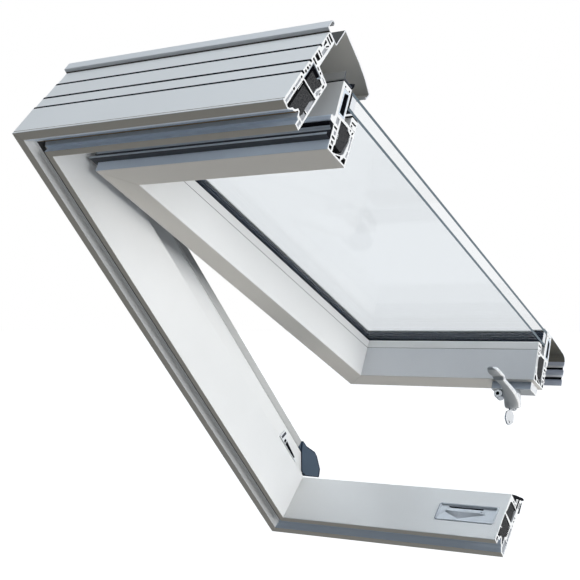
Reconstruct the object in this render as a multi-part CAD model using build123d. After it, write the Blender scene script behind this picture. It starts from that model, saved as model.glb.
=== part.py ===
from build123d import *
import os
from math import cos, hypot, radians, sin

os.makedirs("parts", exist_ok=True)

# Roof hatch window, shown as a sectioned sample: the left jamb, the head and the sill
# of a plastic frame, and a top hung glazed sash that stands open, all cut off flush at
# one upright plane so that the chambers, foam and steel inside the profiles show.
# Everything is drawn flat first, as if the roof lay on the ground: X runs along the
# head from the outer side of the jamb, Y runs down the slope from the outer side of
# the head, and Z points out of the roof from the room face. It is then tilted to the
# roof's pitch. All sizes are in millimetres.

# Driving sizes of the whole window
roof_pitch = 45.0
frame_length = 780.0
section_width = 387.0
rest_opening = 20.04

# Driving sizes of the frame profile
frame_face = 40.0
reveal_depth = 81.0
frame_depth = 127.0
upstand_width = 17.0
pvc_wall = 2.6
web_depth = 50.0
lining_land = 11.0
lining_groove = 16.5
lining_leg = 9.8
strip_joint = 3.0
sill_fall = 16.0
sill_splay = 3.3

# Driving sizes of the hood, the strips and the fittings on the frame
sheet_gauge = 1.5
hood_height = 30.0
hood_flat = 45.0
hood_reach = 103.0
hood_lip = 10.5
hood_fall = 7.5
flashing_rise = 14.0
jamb_cover_rise = 12.0
cap_wall = 2.5
gasket_gauge = 3.6
tray_left = 285.0
tray_length = 92.0
tray_width = 31.0
tray_recess = 7.0
tray_from_room = 24.5
catch_from_sill = 133.0
catch_length = 18.0
catch_slot = 46.0

# Driving sizes of the sash
sash_length = 682.0
sash_side_gap = 14.2
closed_head_gap = 10.5
closed_leg_drop = 1.3
sash_face = 40.0
sash_splay = 3.6
bead_seat = 47.5
bead_height = 13.0
bead_inside = 27.0
bead_wall = 2.2
sash_leg_top = 87.0
sash_leg_width = 17.5
glass_edge = 20.0
pane_gauge = 4.0
pane_space = 16.0
gasket_line = 1.5
lip_low = 12.0
lip_height = 26.0
top_strip_rise = 12.0
side_cover_reach = 28.0
bottom_cover_reach = 71.0
bottom_cover_drop = 53.0
bottom_seal_reach = 2.0

# Driving sizes of the hinge, handle and key
hinge_from_head = 86.0
hinge_rise = 17.0
hinge_pin_radius = 3.0
hinge_eye_radius = 6.0
hinge_plate = 4.0
handle_x = 351.0
handle_from_end = 22.0
handle_plate_gauge = 12.0
handle_front = 38.0
lever_length = 118.0
lever_width = 19.0
lever_gauge = 9.0
lever_tilt = 13.0
hub_radius = 13.0
key_bow = 20.0
key_gauge = 2.2

# Clearances
running_gap = 0.08
seal_gap = 1.5
seat_gap = 0.3
fit_gap = 0.15
far = 200.0

# Derived places that several pieces share
sash_x = frame_face + sash_side_gap
sash_width = section_width - sash_x
closed_s = frame_face + closed_head_gap
closed_setback = frame_depth - sash_leg_top - closed_leg_drop
hinge_height = frame_depth + hinge_rise
hinge_s = hinge_from_head - closed_s
hinge_d = hinge_height - closed_setback
glass_inside = bead_seat + bead_height + gasket_line
glass_outside = glass_inside + 2 * pane_gauge + pane_space
open_cos = cos(radians(rest_opening))
open_sin = sin(radians(rest_opening))
sash_s = hinge_from_head - (hinge_s * open_cos - hinge_d * open_sin)
sash_d = hinge_height - (hinge_s * open_sin + hinge_d * open_cos)
mount_d = 25.0


def outline(*steps):
    """Closed flat face. A step of two numbers is a straight run to that point, and a
    step of four is an arc through the first point to the second."""
    here = steps[0]
    edges = []
    for step in steps[1:] + (steps[0],):
        if len(step) == 4:
            edges.append(ThreePointArc(here, step[:2], step[2:]))
            here = step[2:]
        else:
            edges.append(Line(here, step))
            here = step
    return make_face(edges)


def folded(points, gauge):
    """Closed flat face of sheet metal: the points are one side of the fold line, and
    the other side lies one gauge to the left of the way they run."""
    count = len(points)
    shifted = []
    for i in range(count):
        before = points[max(i - 1, 0)]
        here = points[i]
        after = points[min(i + 1, count - 1)]
        first = (here[0] - before[0], here[1] - before[1])
        second = (after[0] - here[0], after[1] - here[1])
        if i == 0:
            first = second
        if i == count - 1:
            second = first
        n1 = (-first[1] / hypot(*first), first[0] / hypot(*first))
        n2 = (-second[1] / hypot(*second), second[0] / hypot(*second))
        share = gauge / (1 + n1[0] * n2[0] + n1[1] * n2[1])
        shifted.append((here[0] + share * (n1[0] + n2[0]), here[1] + share * (n1[1] + n2[1])))
    return outline(*points, *reversed(shifted))


def along_head(face, start, end):
    """A profile drawn as distance from the head's outer side and height, run along X."""
    return extrude(Plane.YZ.offset(start) * face, amount=end - start, dir=(1, 0, 0))


def along_jamb(face, start, end):
    """A profile drawn as distance from the jamb's outer side and height, run down Y."""
    placed = Plane(origin=(0, start, 0), x_dir=(1, 0, 0), z_dir=(0, -1, 0)) * face
    return extrude(placed, amount=end - start, dir=(0, 1, 0))


def along_foot(face, length, start, end):
    """A profile drawn as distance from the lower outer side and height, run along X."""
    placed = Plane(origin=(start, length, 0), x_dir=(0, -1, 0), z_dir=(-1, 0, 0)) * face
    return extrude(placed, amount=end - start, dir=(1, 0, 0))


def side_view(face, start, end):
    """A shape drawn in a side view, Y and Z, given thickness from one X to another."""
    return along_head(face, start, end)


def head_mitre(width):
    """Wedge that keeps what lies on the head's side of the corner's mitre."""
    face = outline((-far, -far), (width, -far), (width, far), (far, far))
    return extrude(Pos(0, 0, -far) * face, amount=2 * far, dir=(0, 0, 1))


def jamb_mitre(length):
    """Wedge that keeps what lies between the upper and the lower mitre of the jamb."""
    face = outline((-far, -far), (far, far), (far, length - far), (-far, length + far))
    return extrude(Pos(0, 0, -far) * face, amount=2 * far, dir=(0, 0, 1))


def foot_mitre(width, length):
    """Wedge that keeps what lies on the sill's side of the corner's mitre."""
    face = outline((-far, length + far), (far, length - far), (width, length - far), (width, length + far))
    return extrude(Pos(0, 0, -far) * face, amount=2 * far, dir=(0, 0, 1))


def head_bar(face, width):
    return along_head(face, -far, width) & head_mitre(width)


def jamb_bar(face, length):
    return along_jamb(face, -far, length + far) & jamb_mitre(length)


def foot_bar(face, width, length):
    return along_foot(face, length, -far, width) & foot_mitre(width, length)


def on_roof(shape):
    """Tilts the flat drawing to the roof's pitch, about the fixing point on the jamb."""
    return Rot(X=-roof_pitch) * Pos(0, -frame_length / 2, -mount_d) * shape


def on_sash(shape):
    """Places a piece drawn on the flat sash at the sash's open position."""
    return on_roof(Pos(sash_x, sash_s, sash_d) * Rot(X=rest_opening) * shape)


def save(name, shape):
    """Writes one node."""
    export_step(shape, "parts/" + name + ".step")


# Frame profile: room side with the groove for the wall lining
groove_side = lining_land + 13.0
leg_side = frame_face - lining_leg
room_side = (
    (0.0, 0.0),
    (lining_land, 0.0),
    (lining_land + 9.0, 6.0, groove_side, lining_groove),
    (groove_side + 2.5, lining_groove),
    (groove_side + 3.3, lining_groove - 5.5),
    (leg_side + 1.3, lining_groove - 6.0),
    (leg_side, 0.3),
)

# Frame profile: outer side, which is stepped where the cladding strips join
upper_joint = frame_depth - 27.0
middle_joint = web_depth + 21.0
outer_side = (
    (upstand_width - 2.0, frame_depth),
    (strip_joint + 1.0, frame_depth),
    (strip_joint - 1.0, frame_depth - 2.0),
    (strip_joint - 1.0, upper_joint + 1.5),
    (strip_joint + 1.5, upper_joint + 1.5),
    (strip_joint + 1.5, upper_joint - 0.5),
    (1.4, upper_joint - 1.0),
    (1.4, middle_joint + 1.5),
    (strip_joint + 0.8, middle_joint + 1.5),
    (strip_joint + 0.8, middle_joint - 0.5),
    (0.8, middle_joint - 1.0),
    (0.8, web_depth + 1.5),
    (strip_joint + 0.2, web_depth + 1.5),
    (strip_joint + 0.2, web_depth - 0.5),
    (0.0, web_depth - 1.0),
)

# Frame profile: room side foam chamber, outer foam chamber and the plain chambers
foam_in = 7.2
foam_out = frame_face - pvc_wall - 0.8
room_foam = (
    (foam_in, 6.5),
    (lining_land + 1.5, 5.5),
    (lining_land + 7.0, 10.0, groove_side - pvc_wall, lining_groove + pvc_wall),
    (leg_side + 1.0, lining_groove + pvc_wall),
    (leg_side + 1.0, lining_groove - 2.5),
    (foam_out, lining_groove - 2.5),
    (foam_out, web_depth - pvc_wall / 2),
    (foam_in, web_depth - pvc_wall / 2),
)
outer_foam_in = 9.4
outer_foam_out = 30.0
outer_foam = (
    (outer_foam_in, web_depth + pvc_wall / 2),
    (outer_foam_out, web_depth + pvc_wall / 2),
    (outer_foam_out, reveal_depth - 6.0),
    (outer_foam_in, reveal_depth - 6.0),
)
shelf_cell = (
    (outer_foam_out + 1.8, web_depth + 6.0),
    (foam_out + 0.4, web_depth + 6.0),
    (foam_out + 0.6, reveal_depth - 9.0),
    (outer_foam_out + 1.8, reveal_depth - 9.0),
)
side_cell = ((2.2, 6.0), (foam_in - 1.8, 6.0), (foam_in - 1.8, web_depth - 4.0), (2.2, web_depth - 4.0))
leg_cell = (
    (leg_side + 3.4, 2.6),
    (frame_face - 2.6, 2.6),
    (frame_face - 2.6, lining_groove - 4.7),
    (leg_side + 3.4, lining_groove - 4.7),
)
strip_cell = (
    (strip_joint + 1.0, web_depth + 4.0),
    (outer_foam_in - 1.8, web_depth + 4.0),
    (outer_foam_in - 1.8, middle_joint - 3.0),
    (strip_joint + 1.0, middle_joint - 3.0),
)
upstand_bases = [
    (middle_joint + 6.0, reveal_depth + 2.5, foam_in, upstand_width - 2.0),
    (reveal_depth + 5.0, upper_joint - 4.0, foam_in - 1.0, upstand_width - pvc_wall),
    (upper_joint + 4.5, upper_joint + 12.0, strip_joint + 2.0, upstand_width - pvc_wall),
    (upper_joint + 14.0, frame_depth - pvc_wall, strip_joint + 2.0, upstand_width - pvc_wall),
]


def upright_cell(low, high, inner, outer):
    """Plain rectangular chamber."""
    return outline((inner, low), (outer, low), (outer, high), (inner, high))


def frame_profile():
    """Section of the head and the jamb, with its chambers."""
    face = outline(
        *room_side,
        (frame_face - 0.4, 0.3),
        (frame_face, reveal_depth),
        (upstand_width, reveal_depth + 1.5),
        (upstand_width, frame_depth - 2.0),
        *outer_side,
    )
    for cell in (room_foam, outer_foam, shelf_cell, side_cell, leg_cell, strip_cell):
        face -= outline(*cell)
    for cell in upstand_bases:
        face -= upright_cell(*cell)
    return face


# Sill profile: the same room side, and a top that falls outwards under its gasket
sill_edge = frame_face + 0.9 - sill_splay
sill_back = 1.2
sill_slope = (
    (sill_edge, reveal_depth),
    (sill_edge - 6.0, reveal_depth + 0.6),
    (sill_back + 2.8, reveal_depth + sill_fall),
)
sill_room_foam = (
    (foam_in, 6.5),
    (lining_land + 1.5, 5.5),
    (lining_land + 7.0, 10.0, groove_side - pvc_wall, lining_groove + pvc_wall),
    (leg_side + 1.0, lining_groove + pvc_wall),
    (leg_side + 1.0, lining_groove - 2.5),
    (foam_out, lining_groove - 2.5),
    (foam_out - 0.8, web_depth - pvc_wall / 2),
    (foam_in, web_depth - pvc_wall / 2),
)
sill_outer_foam = (
    (foam_in, web_depth + pvc_wall / 2),
    (foam_out - 1.4, web_depth + pvc_wall / 2),
    (foam_out - 1.9, reveal_depth - 4.0),
    (foam_in + 4.0, reveal_depth - 4.0),
    (foam_in, reveal_depth - 9.0),
)
sill_top_cell = (
    (foam_in - 2.5, reveal_depth + 4.0),
    (foam_in + 12.0, reveal_depth - 1.6),
    (sill_edge - 10.0, reveal_depth - 1.6),
    (foam_in - 2.5, reveal_depth + sill_fall - 4.2),
)


def sill_profile():
    """Section of the sill, with its chambers."""
    face = outline(
        *room_side,
        (frame_face + 0.9, 0.3),
        *sill_slope,
        (sill_back, reveal_depth + sill_fall - 1.5),
        (sill_back, web_depth + 1.5),
        (strip_joint + 0.2, web_depth + 1.5),
        (strip_joint + 0.2, web_depth - 0.5),
        (0.0, web_depth - 1.0),
    )
    for cell in (sill_room_foam, sill_outer_foam, sill_top_cell, side_cell, leg_cell):
        face -= outline(*cell)
    return face


# Frame: head, jamb and sill, welded at their mitres, with foam in the chambers
head = head_bar(frame_profile(), section_width)
jamb = jamb_bar(frame_profile(), frame_length)
sill = foot_bar(sill_profile(), section_width, frame_length)

tray_wall = frame_length - frame_face - 0.9
tray_lean = sill_splay / reveal_depth
tray_top = tray_from_room + tray_width


def reveal_at(depth):
    """Place along the slope of the sill's reveal face at a height."""
    return tray_wall + tray_lean * depth


def tray_block(grow, sink, proud):
    """Block in the sill's reveal that the latch tray fills."""
    low = tray_from_room - grow
    high = tray_top + grow
    face = outline(
        (reveal_at(low) - proud, low),
        (reveal_at(high) - proud, high),
        (reveal_at(high) + sink, high),
        (reveal_at(low) + sink, low),
    )
    return side_view(face, tray_left - grow, tray_left + tray_length + grow)


sill -= tray_block(0.0, tray_recess, 1.0)
save("frame_head", on_roof(head))
save("frame_jamb", on_roof(jamb))
save("frame_sill", on_roof(sill))

steel_gauge = 1.4
lining = outline(
    (outer_foam_in, web_depth + pvc_wall / 2),
    (outer_foam_in + steel_gauge, web_depth + pvc_wall / 2),
    (outer_foam_in + steel_gauge, reveal_depth - 6.0 - steel_gauge),
    (outer_foam_out, reveal_depth - 6.0 - steel_gauge),
    (outer_foam_out, reveal_depth - 6.0),
    (outer_foam_in, reveal_depth - 6.0),
)
outer_core = outline(
    (outer_foam_in + steel_gauge, web_depth + pvc_wall / 2),
    (outer_foam_out, web_depth + pvc_wall / 2),
    (outer_foam_out, reveal_depth - 6.0 - steel_gauge),
    (outer_foam_in + steel_gauge, reveal_depth - 6.0 - steel_gauge),
)
cores = outline(*room_foam) + outer_core
save("head_foam", on_roof(head_bar(cores, section_width)))
save("jamb_foam", on_roof(jamb_bar(cores, frame_length)))
save("head_steel_lining", on_roof(head_bar(lining, section_width)))
save("jamb_steel_lining", on_roof(jamb_bar(lining, frame_length)))
sill_cores = outline(*sill_room_foam) + outline(*sill_outer_foam)
sill_foam = foot_bar(sill_cores, section_width, frame_length) - tray_block(0.0, tray_recess, 1.0)
save("sill_foam", on_roof(sill_foam))

# Latch tray: a clear plastic moulding let into the sill's reveal, with a sloping floor
tray = tray_block(-fit_gap, tray_recess - fit_gap, 0.6)
pocket_low = tray_from_room + 3.0
pocket_high = tray_top - 3.0
pocket = outline(
    (reveal_at(pocket_low) - 1.0, pocket_low),
    (reveal_at(pocket_high) - 1.0, pocket_high),
    (reveal_at(pocket_high) + tray_recess - 2.0, pocket_high),
    (reveal_at(pocket_low) + 0.4, pocket_low),
)
tray -= side_view(pocket, tray_left + 3.0, tray_left + tray_length - 3.0)
save("latch_tray", on_roof(tray))

# Lock catch on the jamb's inner edge: a plate with a round keep and a short slotted tail
catch_s = frame_length - catch_from_sill
catch = outline(
    (catch_s, reveal_depth + 1.8),
    (catch_s + catch_length, reveal_depth + 1.8),
    (catch_s + catch_length, reveal_depth + 17.0),
    (catch_s + 3.0, reveal_depth + 17.0),
)
catch -= Pos(catch_s + 6.0, reveal_depth + 10.0) * Circle(2.6)
tail = outline(
    (catch_s + catch_length, reveal_depth + 1.8),
    (catch_s + catch_length + catch_slot, reveal_depth + 1.8),
    (catch_s + catch_length + catch_slot, reveal_depth + 4.5),
    (catch_s + catch_length, reveal_depth + 7.5),
)
catch_foot = outline(
    (catch_s, reveal_depth + 1.8),
    (catch_s + catch_length, reveal_depth + 1.8),
    (catch_s + catch_length, reveal_depth + 3.6),
    (catch_s, reveal_depth + 3.6),
)
catch_x = frame_face - 3.0
keep = side_view(catch + tail, catch_x, catch_x + 2.5) + side_view(catch_foot, upstand_width + 2.0, catch_x)
save("lock_catch", on_roof(keep))

# Hood over the head: folded aluminium on the upstand, with a lip that hangs over the sash
hood_foot = strip_joint + 1.0
hood_wall = upstand_width + 3.0
hood_top = frame_depth + hood_height
hood_points = [
    (hood_foot, frame_depth + sheet_gauge),
    (hood_wall, frame_depth + sheet_gauge),
    (hood_wall, hood_top),
    (hood_wall + hood_flat, hood_top),
    (hood_wall + hood_flat + 18.5, hood_top - 2.2),
    (hood_reach, hood_top - hood_fall),
    (hood_reach - 1.0, hood_top - hood_fall - hood_lip),
    (hood_reach - 4.0, hood_top - hood_fall - hood_lip + 0.4),
]
hood_shell = folded(hood_points, -sheet_gauge)
save("head_hood", on_roof(along_head(hood_shell, 0.0, section_width)))
end_cap = outline(
    (hood_wall + sheet_gauge + fit_gap, frame_depth + seat_gap),
    (hood_wall + sheet_gauge + fit_gap, hood_top - sheet_gauge - seat_gap),
    (hood_wall + hood_flat, hood_top - sheet_gauge - seat_gap),
    (hood_wall + hood_flat + 18.5, hood_top - 2.2 - sheet_gauge - seat_gap),
    (hood_reach - sheet_gauge - 1.2, hood_top - hood_fall - sheet_gauge),
    (hood_reach - sheet_gauge - 1.8, hood_top - hood_fall - hood_lip + 3.6),
    (hood_reach - 7.0, hood_top - hood_fall - hood_lip + 3.6),
    (hood_reach - 8.0, frame_depth + seat_gap),
)
save("hood_end_cap", on_roof(side_view(end_cap, 0.0, cap_wall)))

# Flashing strip along the head's outer edge, with a curled upper lip
flash_u = strip_joint - 1.0 - seat_gap
flashing = folded(
    [
        (flash_u, upper_joint + 4.0),
        (flash_u, frame_depth + 2.0),
        (flash_u - 3.6, frame_depth + 3.0),
        (flash_u - 3.6, frame_depth + flashing_rise),
        (flash_u + 1.0, frame_depth + flashing_rise + 0.4),
        (flash_u + 1.4, frame_depth + flashing_rise - 3.2),
    ],
    sheet_gauge * 0.7,
)
save("head_flashing_strip", on_roof(along_head(flashing, 0.0, section_width)))

# Jamb cover: a light strip clipped on the jamb's upstand, from the hood to the end cap
cover_start = hood_reach + seat_gap
cover_end = frame_length - 54.0
jamb_cover = folded(
    [
        (strip_joint + 1.0, frame_depth + sheet_gauge),
        (upstand_width - sheet_gauge, frame_depth + sheet_gauge),
        (upstand_width - sheet_gauge, frame_depth + jamb_cover_rise),
    ],
    -sheet_gauge,
)
save("jamb_cover", on_roof(along_jamb(jamb_cover, cover_start, cover_end)))

# Corner cap: a slate coloured moulding that closes the lower end of the jamb's upstand
cap_outline = (
    (frame_length - 54.5, frame_depth + 13.4),
    (frame_length - 38.7, frame_depth + 14.2),
    (frame_length - 14.0, frame_depth + 23.4),
    (frame_length - 3.6, frame_depth + 22.9),
    (frame_length + 18.8, frame_depth + 13.9),
    (frame_length + 25.7, frame_depth + 2.3),
    (frame_length - 7.1, frame_depth - 21.4),
    (frame_length - 21.0, frame_depth - 23.3),
    (frame_length - 46.9, frame_depth + 2.2),
)
cap_face = outline(*cap_outline)
beyond = outline(
    (frame_length + fit_gap, 0.0),
    (frame_length + far, 0.0),
    (frame_length + far, far),
    (frame_length + fit_gap, far),
)
above = outline(
    (0.0, frame_depth + seat_gap),
    (frame_length + far, frame_depth + seat_gap),
    (frame_length + far, far),
    (0.0, far),
)
after_cover = outline(
    (cover_end + fit_gap, 0.0),
    (frame_length + far, 0.0),
    (frame_length + far, far),
    (cover_end + fit_gap, far),
)
corner_cap = side_view(cap_face, upstand_width + fit_gap, upstand_width + fit_gap + cap_wall)
corner_cap += side_view(cap_face & beyond, 1.0, upstand_width + fit_gap)
corner_cap += side_view(cap_face & above & after_cover, 1.0, upstand_width + fit_gap)
save("corner_cap", on_roof(corner_cap))

# Sill gasket and the drip strip behind it
gasket_left = upstand_width + cap_wall + 3.0
slope_start = (sill_edge - 6.0, reveal_depth + 0.6)
slope_end = (sill_back + 2.8, reveal_depth + sill_fall)
slope_rise = slope_end[1] - slope_start[1]
gasket_face = outline(
    slope_start,
    slope_end,
    (sill_back - 4.0, slope_end[1] + slope_rise * 0.17),
    (sill_back - 5.6, slope_end[1] + gasket_gauge + 1.0),
    (sill_back - 3.0, slope_end[1] + gasket_gauge + 3.0),
    (slope_start[0] - 3.0, slope_start[1] + gasket_gauge + 1.2),
    (slope_start[0] + 1.0, slope_start[1] + 1.5),
)
sill_gasket = along_foot(gasket_face, frame_length, gasket_left, section_width)
save("sill_gasket", on_roof(sill_gasket & foot_mitre(section_width, frame_length)))
drip_u = sill_back - seat_gap
drip = folded(
    [
        (drip_u, reveal_depth + sill_fall - 2.5),
        (drip_u - 2.4, reveal_depth + sill_fall - 2.5),
        (drip_u - 5.0, reveal_depth - 3.0),
    ],
    sheet_gauge,
)
save("sill_drip_strip", on_roof(along_foot(drip, frame_length, gasket_left, section_width)))

# Sash profile, from its outer side inwards: room part, leg with a steel tube, bead seat
inner_edge = sash_face + sash_splay
leg_side_out = -1.4
sash_foam = (
    (9.0, 11.0),
    (13.0, 6.4),
    (27.0, 6.4),
    (33.0, 15.0),
    (34.0, 39.0),
    (19.0, bead_seat - 4.0),
    (9.0, bead_seat - 4.0),
)
tube_in = 3.0
tube_out = sash_leg_width - 3.0
tube_low = bead_seat - 0.5
tube_high = sash_leg_top - 5.5
tube_cell = ((tube_in, tube_low), (tube_out, tube_low), (tube_out, tube_high), (tube_in, tube_high))
sash_cells = [
    ((1.8, 3.0), (6.6, 3.0), (6.6, 10.5), (1.8, 10.5)),
    ((1.8, 12.5), (6.8, 12.5), (6.8, 22.0), (1.8, 22.0)),
    ((1.8, 24.0), (6.8, 24.0), (6.8, 34.0), (1.8, 34.0)),
    ((1.8, 36.0), (6.8, 36.0), (6.8, 43.5), (0.6, 43.5)),
    ((30.0, 2.6), (37.6, 2.6), (38.2, 10.0), (35.2, 10.0)),
    ((35.6, 12.5), (38.4, 12.5), (40.4, 41.5), (36.4, 39.5)),
]


def sash_profile():
    """Section of the three sash bars, with their chambers."""
    splay_at_seat = sash_splay * bead_seat / (bead_seat + bead_height)
    face = outline(
        (0.0, 0.0),
        (sash_face, 0.0),
        (sash_face + splay_at_seat, bead_seat - fit_gap),
        (30.0, bead_seat - fit_gap),
        (30.0, bead_seat - 3.0),
        (26.5, bead_seat - 3.0),
        (26.5, bead_seat + 4.0),
        (sash_leg_width, bead_seat + 4.0),
        (sash_leg_width, sash_leg_top),
        (leg_side_out, sash_leg_top),
        (leg_side_out, bead_seat - 4.0),
        (0.0, bead_seat - 9.0),
    )
    for cell in sash_cells:
        face -= outline(*cell)
    face -= outline(*sash_foam)
    face -= outline(*tube_cell)
    return face


def bead_profile():
    """Snap in glazing bead that holds the glass from the room side."""
    top = bead_seat + bead_height
    splay_at_seat = sash_splay * bead_seat / top
    face = outline(
        (bead_inside, bead_seat),
        (sash_face + splay_at_seat, bead_seat),
        (inner_edge, top),
        (bead_inside, top),
    )
    face -= outline(
        (bead_inside + 2.5, bead_seat + bead_wall),
        (sash_face - 0.5, bead_seat + bead_wall),
        (sash_face - 0.3, top - bead_wall),
        (bead_inside + 2.5, top - bead_wall),
    )
    return face


top_rail = head_bar(sash_profile(), sash_width)
stile = jamb_bar(sash_profile(), sash_length)
bottom_rail = foot_bar(sash_profile(), sash_width, sash_length)
save("sash_top_rail", on_sash(top_rail))
save("sash_stile", on_sash(stile))
save("sash_bottom_rail", on_sash(bottom_rail))
save("bead_top", on_sash(head_bar(bead_profile(), sash_width)))
save("bead_side", on_sash(jamb_bar(bead_profile(), sash_length)))
save("bead_bottom", on_sash(foot_bar(bead_profile(), sash_width, sash_length)))

tube = outline(*tube_cell) - outline(
    (tube_in + steel_gauge, tube_low + steel_gauge),
    (tube_out - steel_gauge, tube_low + steel_gauge),
    (tube_out - steel_gauge, tube_high - steel_gauge),
    (tube_in + steel_gauge, tube_high - steel_gauge),
)
core = outline(*sash_foam)
save("top_rail_foam", on_sash(head_bar(core, sash_width)))
save("stile_foam", on_sash(jamb_bar(core, sash_length)))
save("bottom_rail_foam", on_sash(foot_bar(core, sash_width, sash_length)))
save("top_rail_steel", on_sash(head_bar(tube, sash_width)))
save("stile_steel", on_sash(jamb_bar(tube, sash_length)))
save("bottom_rail_steel", on_sash(foot_bar(tube, sash_width, sash_length)))

# Glass unit: two panes with a spacer between them, on a gasket line on the beads
glass_bottom = sash_length - glass_edge


def pane(low, high):
    """Flat sheet that fills the sash up to the section."""
    face = outline(
        (glass_edge, glass_edge),
        (sash_width, glass_edge),
        (sash_width, glass_bottom),
        (glass_edge, glass_bottom),
    )
    return extrude(Pos(0, 0, low) * face, amount=high - low, dir=(0, 0, 1))


save("inner_pane", on_sash(pane(glass_inside, glass_inside + pane_gauge)))
save("outer_pane", on_sash(pane(glass_outside - pane_gauge, glass_outside)))


def three_sides(face):
    """One profile run round the top, the side and the bottom as a single piece."""
    run = head_bar(face, sash_width) + jamb_bar(face, sash_length)
    return run + foot_bar(face, sash_width, sash_length)


spacer_edge = glass_edge + 1.0
spacer_low = glass_inside + pane_gauge
spacer = upright_cell(spacer_low, spacer_low + pane_space, spacer_edge, spacer_edge + 10.0)
save("glass_spacer", on_sash(three_sides(spacer)))
seal = upright_cell(glass_inside - gasket_line, glass_inside, bead_inside + 2.0, inner_edge - 0.8)
save("glazing_gasket", on_sash(three_sides(seal)))
edge_seal = upright_cell(glass_inside + 6.0, sash_leg_top - 2.0, sash_leg_width, glass_edge)
save("glass_edge_seal", on_sash(three_sides(edge_seal)))

# Weather gasket round the sash: ribbed lips on the outer side of the profile
seal_reach = closed_head_gap - seal_gap


def lip_profile(reach):
    """Ribbed gasket with a rounded upper lip, out to a reach from the sash's side."""
    heights = (1.0, 5.0, 7.5, 10.5, 14.0, 16.5, 20.0, 22.0, 25.5)
    widths = (0.75, 0.75, 0.45, 0.95, 1.0, 0.5, 0.5, 1.0, 0.95)
    rise = lip_height / 26.0
    lip = [(-reach * width, lip_low + height * rise) for width, height in zip(widths, heights)]
    return outline((0.0, lip_low), *lip, (0.0, lip_low + lip_height))


save("top_weather_gasket", on_sash(head_bar(lip_profile(seal_reach), sash_width)))
side_lip = jamb_bar(lip_profile(seal_reach), sash_length)
lip_end = sash_length + bottom_seal_reach
lip_room = outline((-far, -far), (far, -far), (far, lip_end), (-far, lip_end))
side_lip &= extrude(lip_room, amount=far, dir=(0, 0, 1))
save("side_weather_gasket", on_sash(side_lip))
bottom_lip = foot_bar(lip_profile(bottom_seal_reach), sash_width, sash_length)
save("bottom_weather_gasket", on_sash(bottom_lip))

# Aluminium strip along the top rail, the side cover and the bottom cover of the sash
top_strip = folded(
    [
        (sash_leg_width - 1.0, sash_leg_top + sheet_gauge),
        (leg_side_out + 1.0, sash_leg_top + sheet_gauge),
        (leg_side_out, sash_leg_top + top_strip_rise),
    ],
    sheet_gauge,
)
strip_left = sash_leg_width + 4.0
save("top_rail_strip", on_sash(along_head(top_strip, strip_left, sash_width)))

side_start = hinge_s + 34.0
side_cover = folded(
    [
        (glass_edge + 8.0, sash_leg_top + sheet_gauge),
        (leg_side_out - 6.0, sash_leg_top + sheet_gauge),
        (leg_side_out - side_cover_reach + 6.0, sash_leg_top + 8.0),
        (leg_side_out - side_cover_reach, sash_leg_top + 4.0),
    ],
    sheet_gauge,
)
side_end = glass_bottom - 8.0 - seat_gap
save("side_cover", on_sash(along_jamb(side_cover, side_start, side_end)))

cover_edge = sash_length + bottom_cover_reach
cover_low = sash_leg_top + 1.7 - bottom_cover_drop
fold_points = [
    (glass_bottom - 8.0, sash_leg_top + sheet_gauge),
    (sash_length + 6.0, sash_leg_top + sheet_gauge),
    (cover_edge - 13.0, sash_leg_top - 2.0),
    (cover_edge - 5.5, sash_leg_top - 5.0),
    (cover_edge - 1.5, sash_leg_top - 11.0),
    (cover_edge - 1.0, sash_leg_top - 20.0),
    (cover_edge - 4.5, sash_leg_top - 22.0),
    (cover_edge - 4.5, sash_leg_top - 25.0),
    (cover_edge, sash_leg_top - 27.5),
    (cover_edge, sash_leg_top - 37.0),
    (cover_edge - 4.0, sash_leg_top - 38.5),
    (cover_edge - 4.0, sash_leg_top - 41.5),
    (cover_edge - 0.5, sash_leg_top - 44.0),
    (cover_edge - 0.5, cover_low),
]
bottom_cover = folded(fold_points, -sheet_gauge)
bottom_left = leg_side_out - side_cover_reach + 3.0
save("bottom_cover", on_sash(side_view(bottom_cover, bottom_left, sash_width)))
end_low = sash_leg_top - 17.0
cover_end_cap = outline(
    (sash_length + 5.0, sash_leg_top - seat_gap),
    (cover_edge - 14.0, sash_leg_top - 2.0 - sheet_gauge - seat_gap),
    (cover_edge - 7.5, sash_leg_top - 7.5),
    (cover_edge - 6.5, cover_low + 1.0),
    (cover_edge - 11.5, cover_low + 1.0),
    (cover_edge - 11.5, end_low),
    (sash_length + 5.0, end_low),
)
save("bottom_cover_end", on_sash(side_view(cover_end_cap, bottom_left, bottom_left + cap_wall)))

# Hinge: a plate on the jamb's shelf carries the pin, and an arm on the sash turns on it
bracket_x = frame_face - hinge_plate
shelf = reveal_depth + 1.6
eye = (hinge_from_head, hinge_height)
bracket = outline(
    (hinge_from_head - 18.0, shelf),
    (hinge_from_head + 12.0, shelf),
    (hinge_from_head + 12.0, shelf + 14.0),
    (hinge_from_head + hinge_eye_radius, hinge_height),
    (hinge_from_head, hinge_height + hinge_eye_radius, hinge_from_head - hinge_eye_radius, hinge_height),
    (hinge_from_head - 18.0, shelf + 14.0),
)
bracket -= Pos(*eye) * Circle(hinge_pin_radius)
bracket_foot = outline(
    (hinge_from_head - 18.0, shelf),
    (hinge_from_head + 12.0, shelf),
    (hinge_from_head + 12.0, shelf + hinge_plate),
    (hinge_from_head - 18.0, shelf + hinge_plate),
)
hinge_bracket = side_view(bracket, bracket_x, frame_face)
hinge_bracket += side_view(bracket_foot, upstand_width + 1.0, bracket_x)
save("hinge_bracket", on_roof(hinge_bracket))

arm_x = 2.0
pin_start = bracket_x
pin_end = sash_x + arm_x + hinge_plate + 5.0
pin = side_view(Pos(*eye) * Circle(hinge_pin_radius), pin_start, pin_end)
save("hinge_pin", on_roof(pin))

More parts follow.
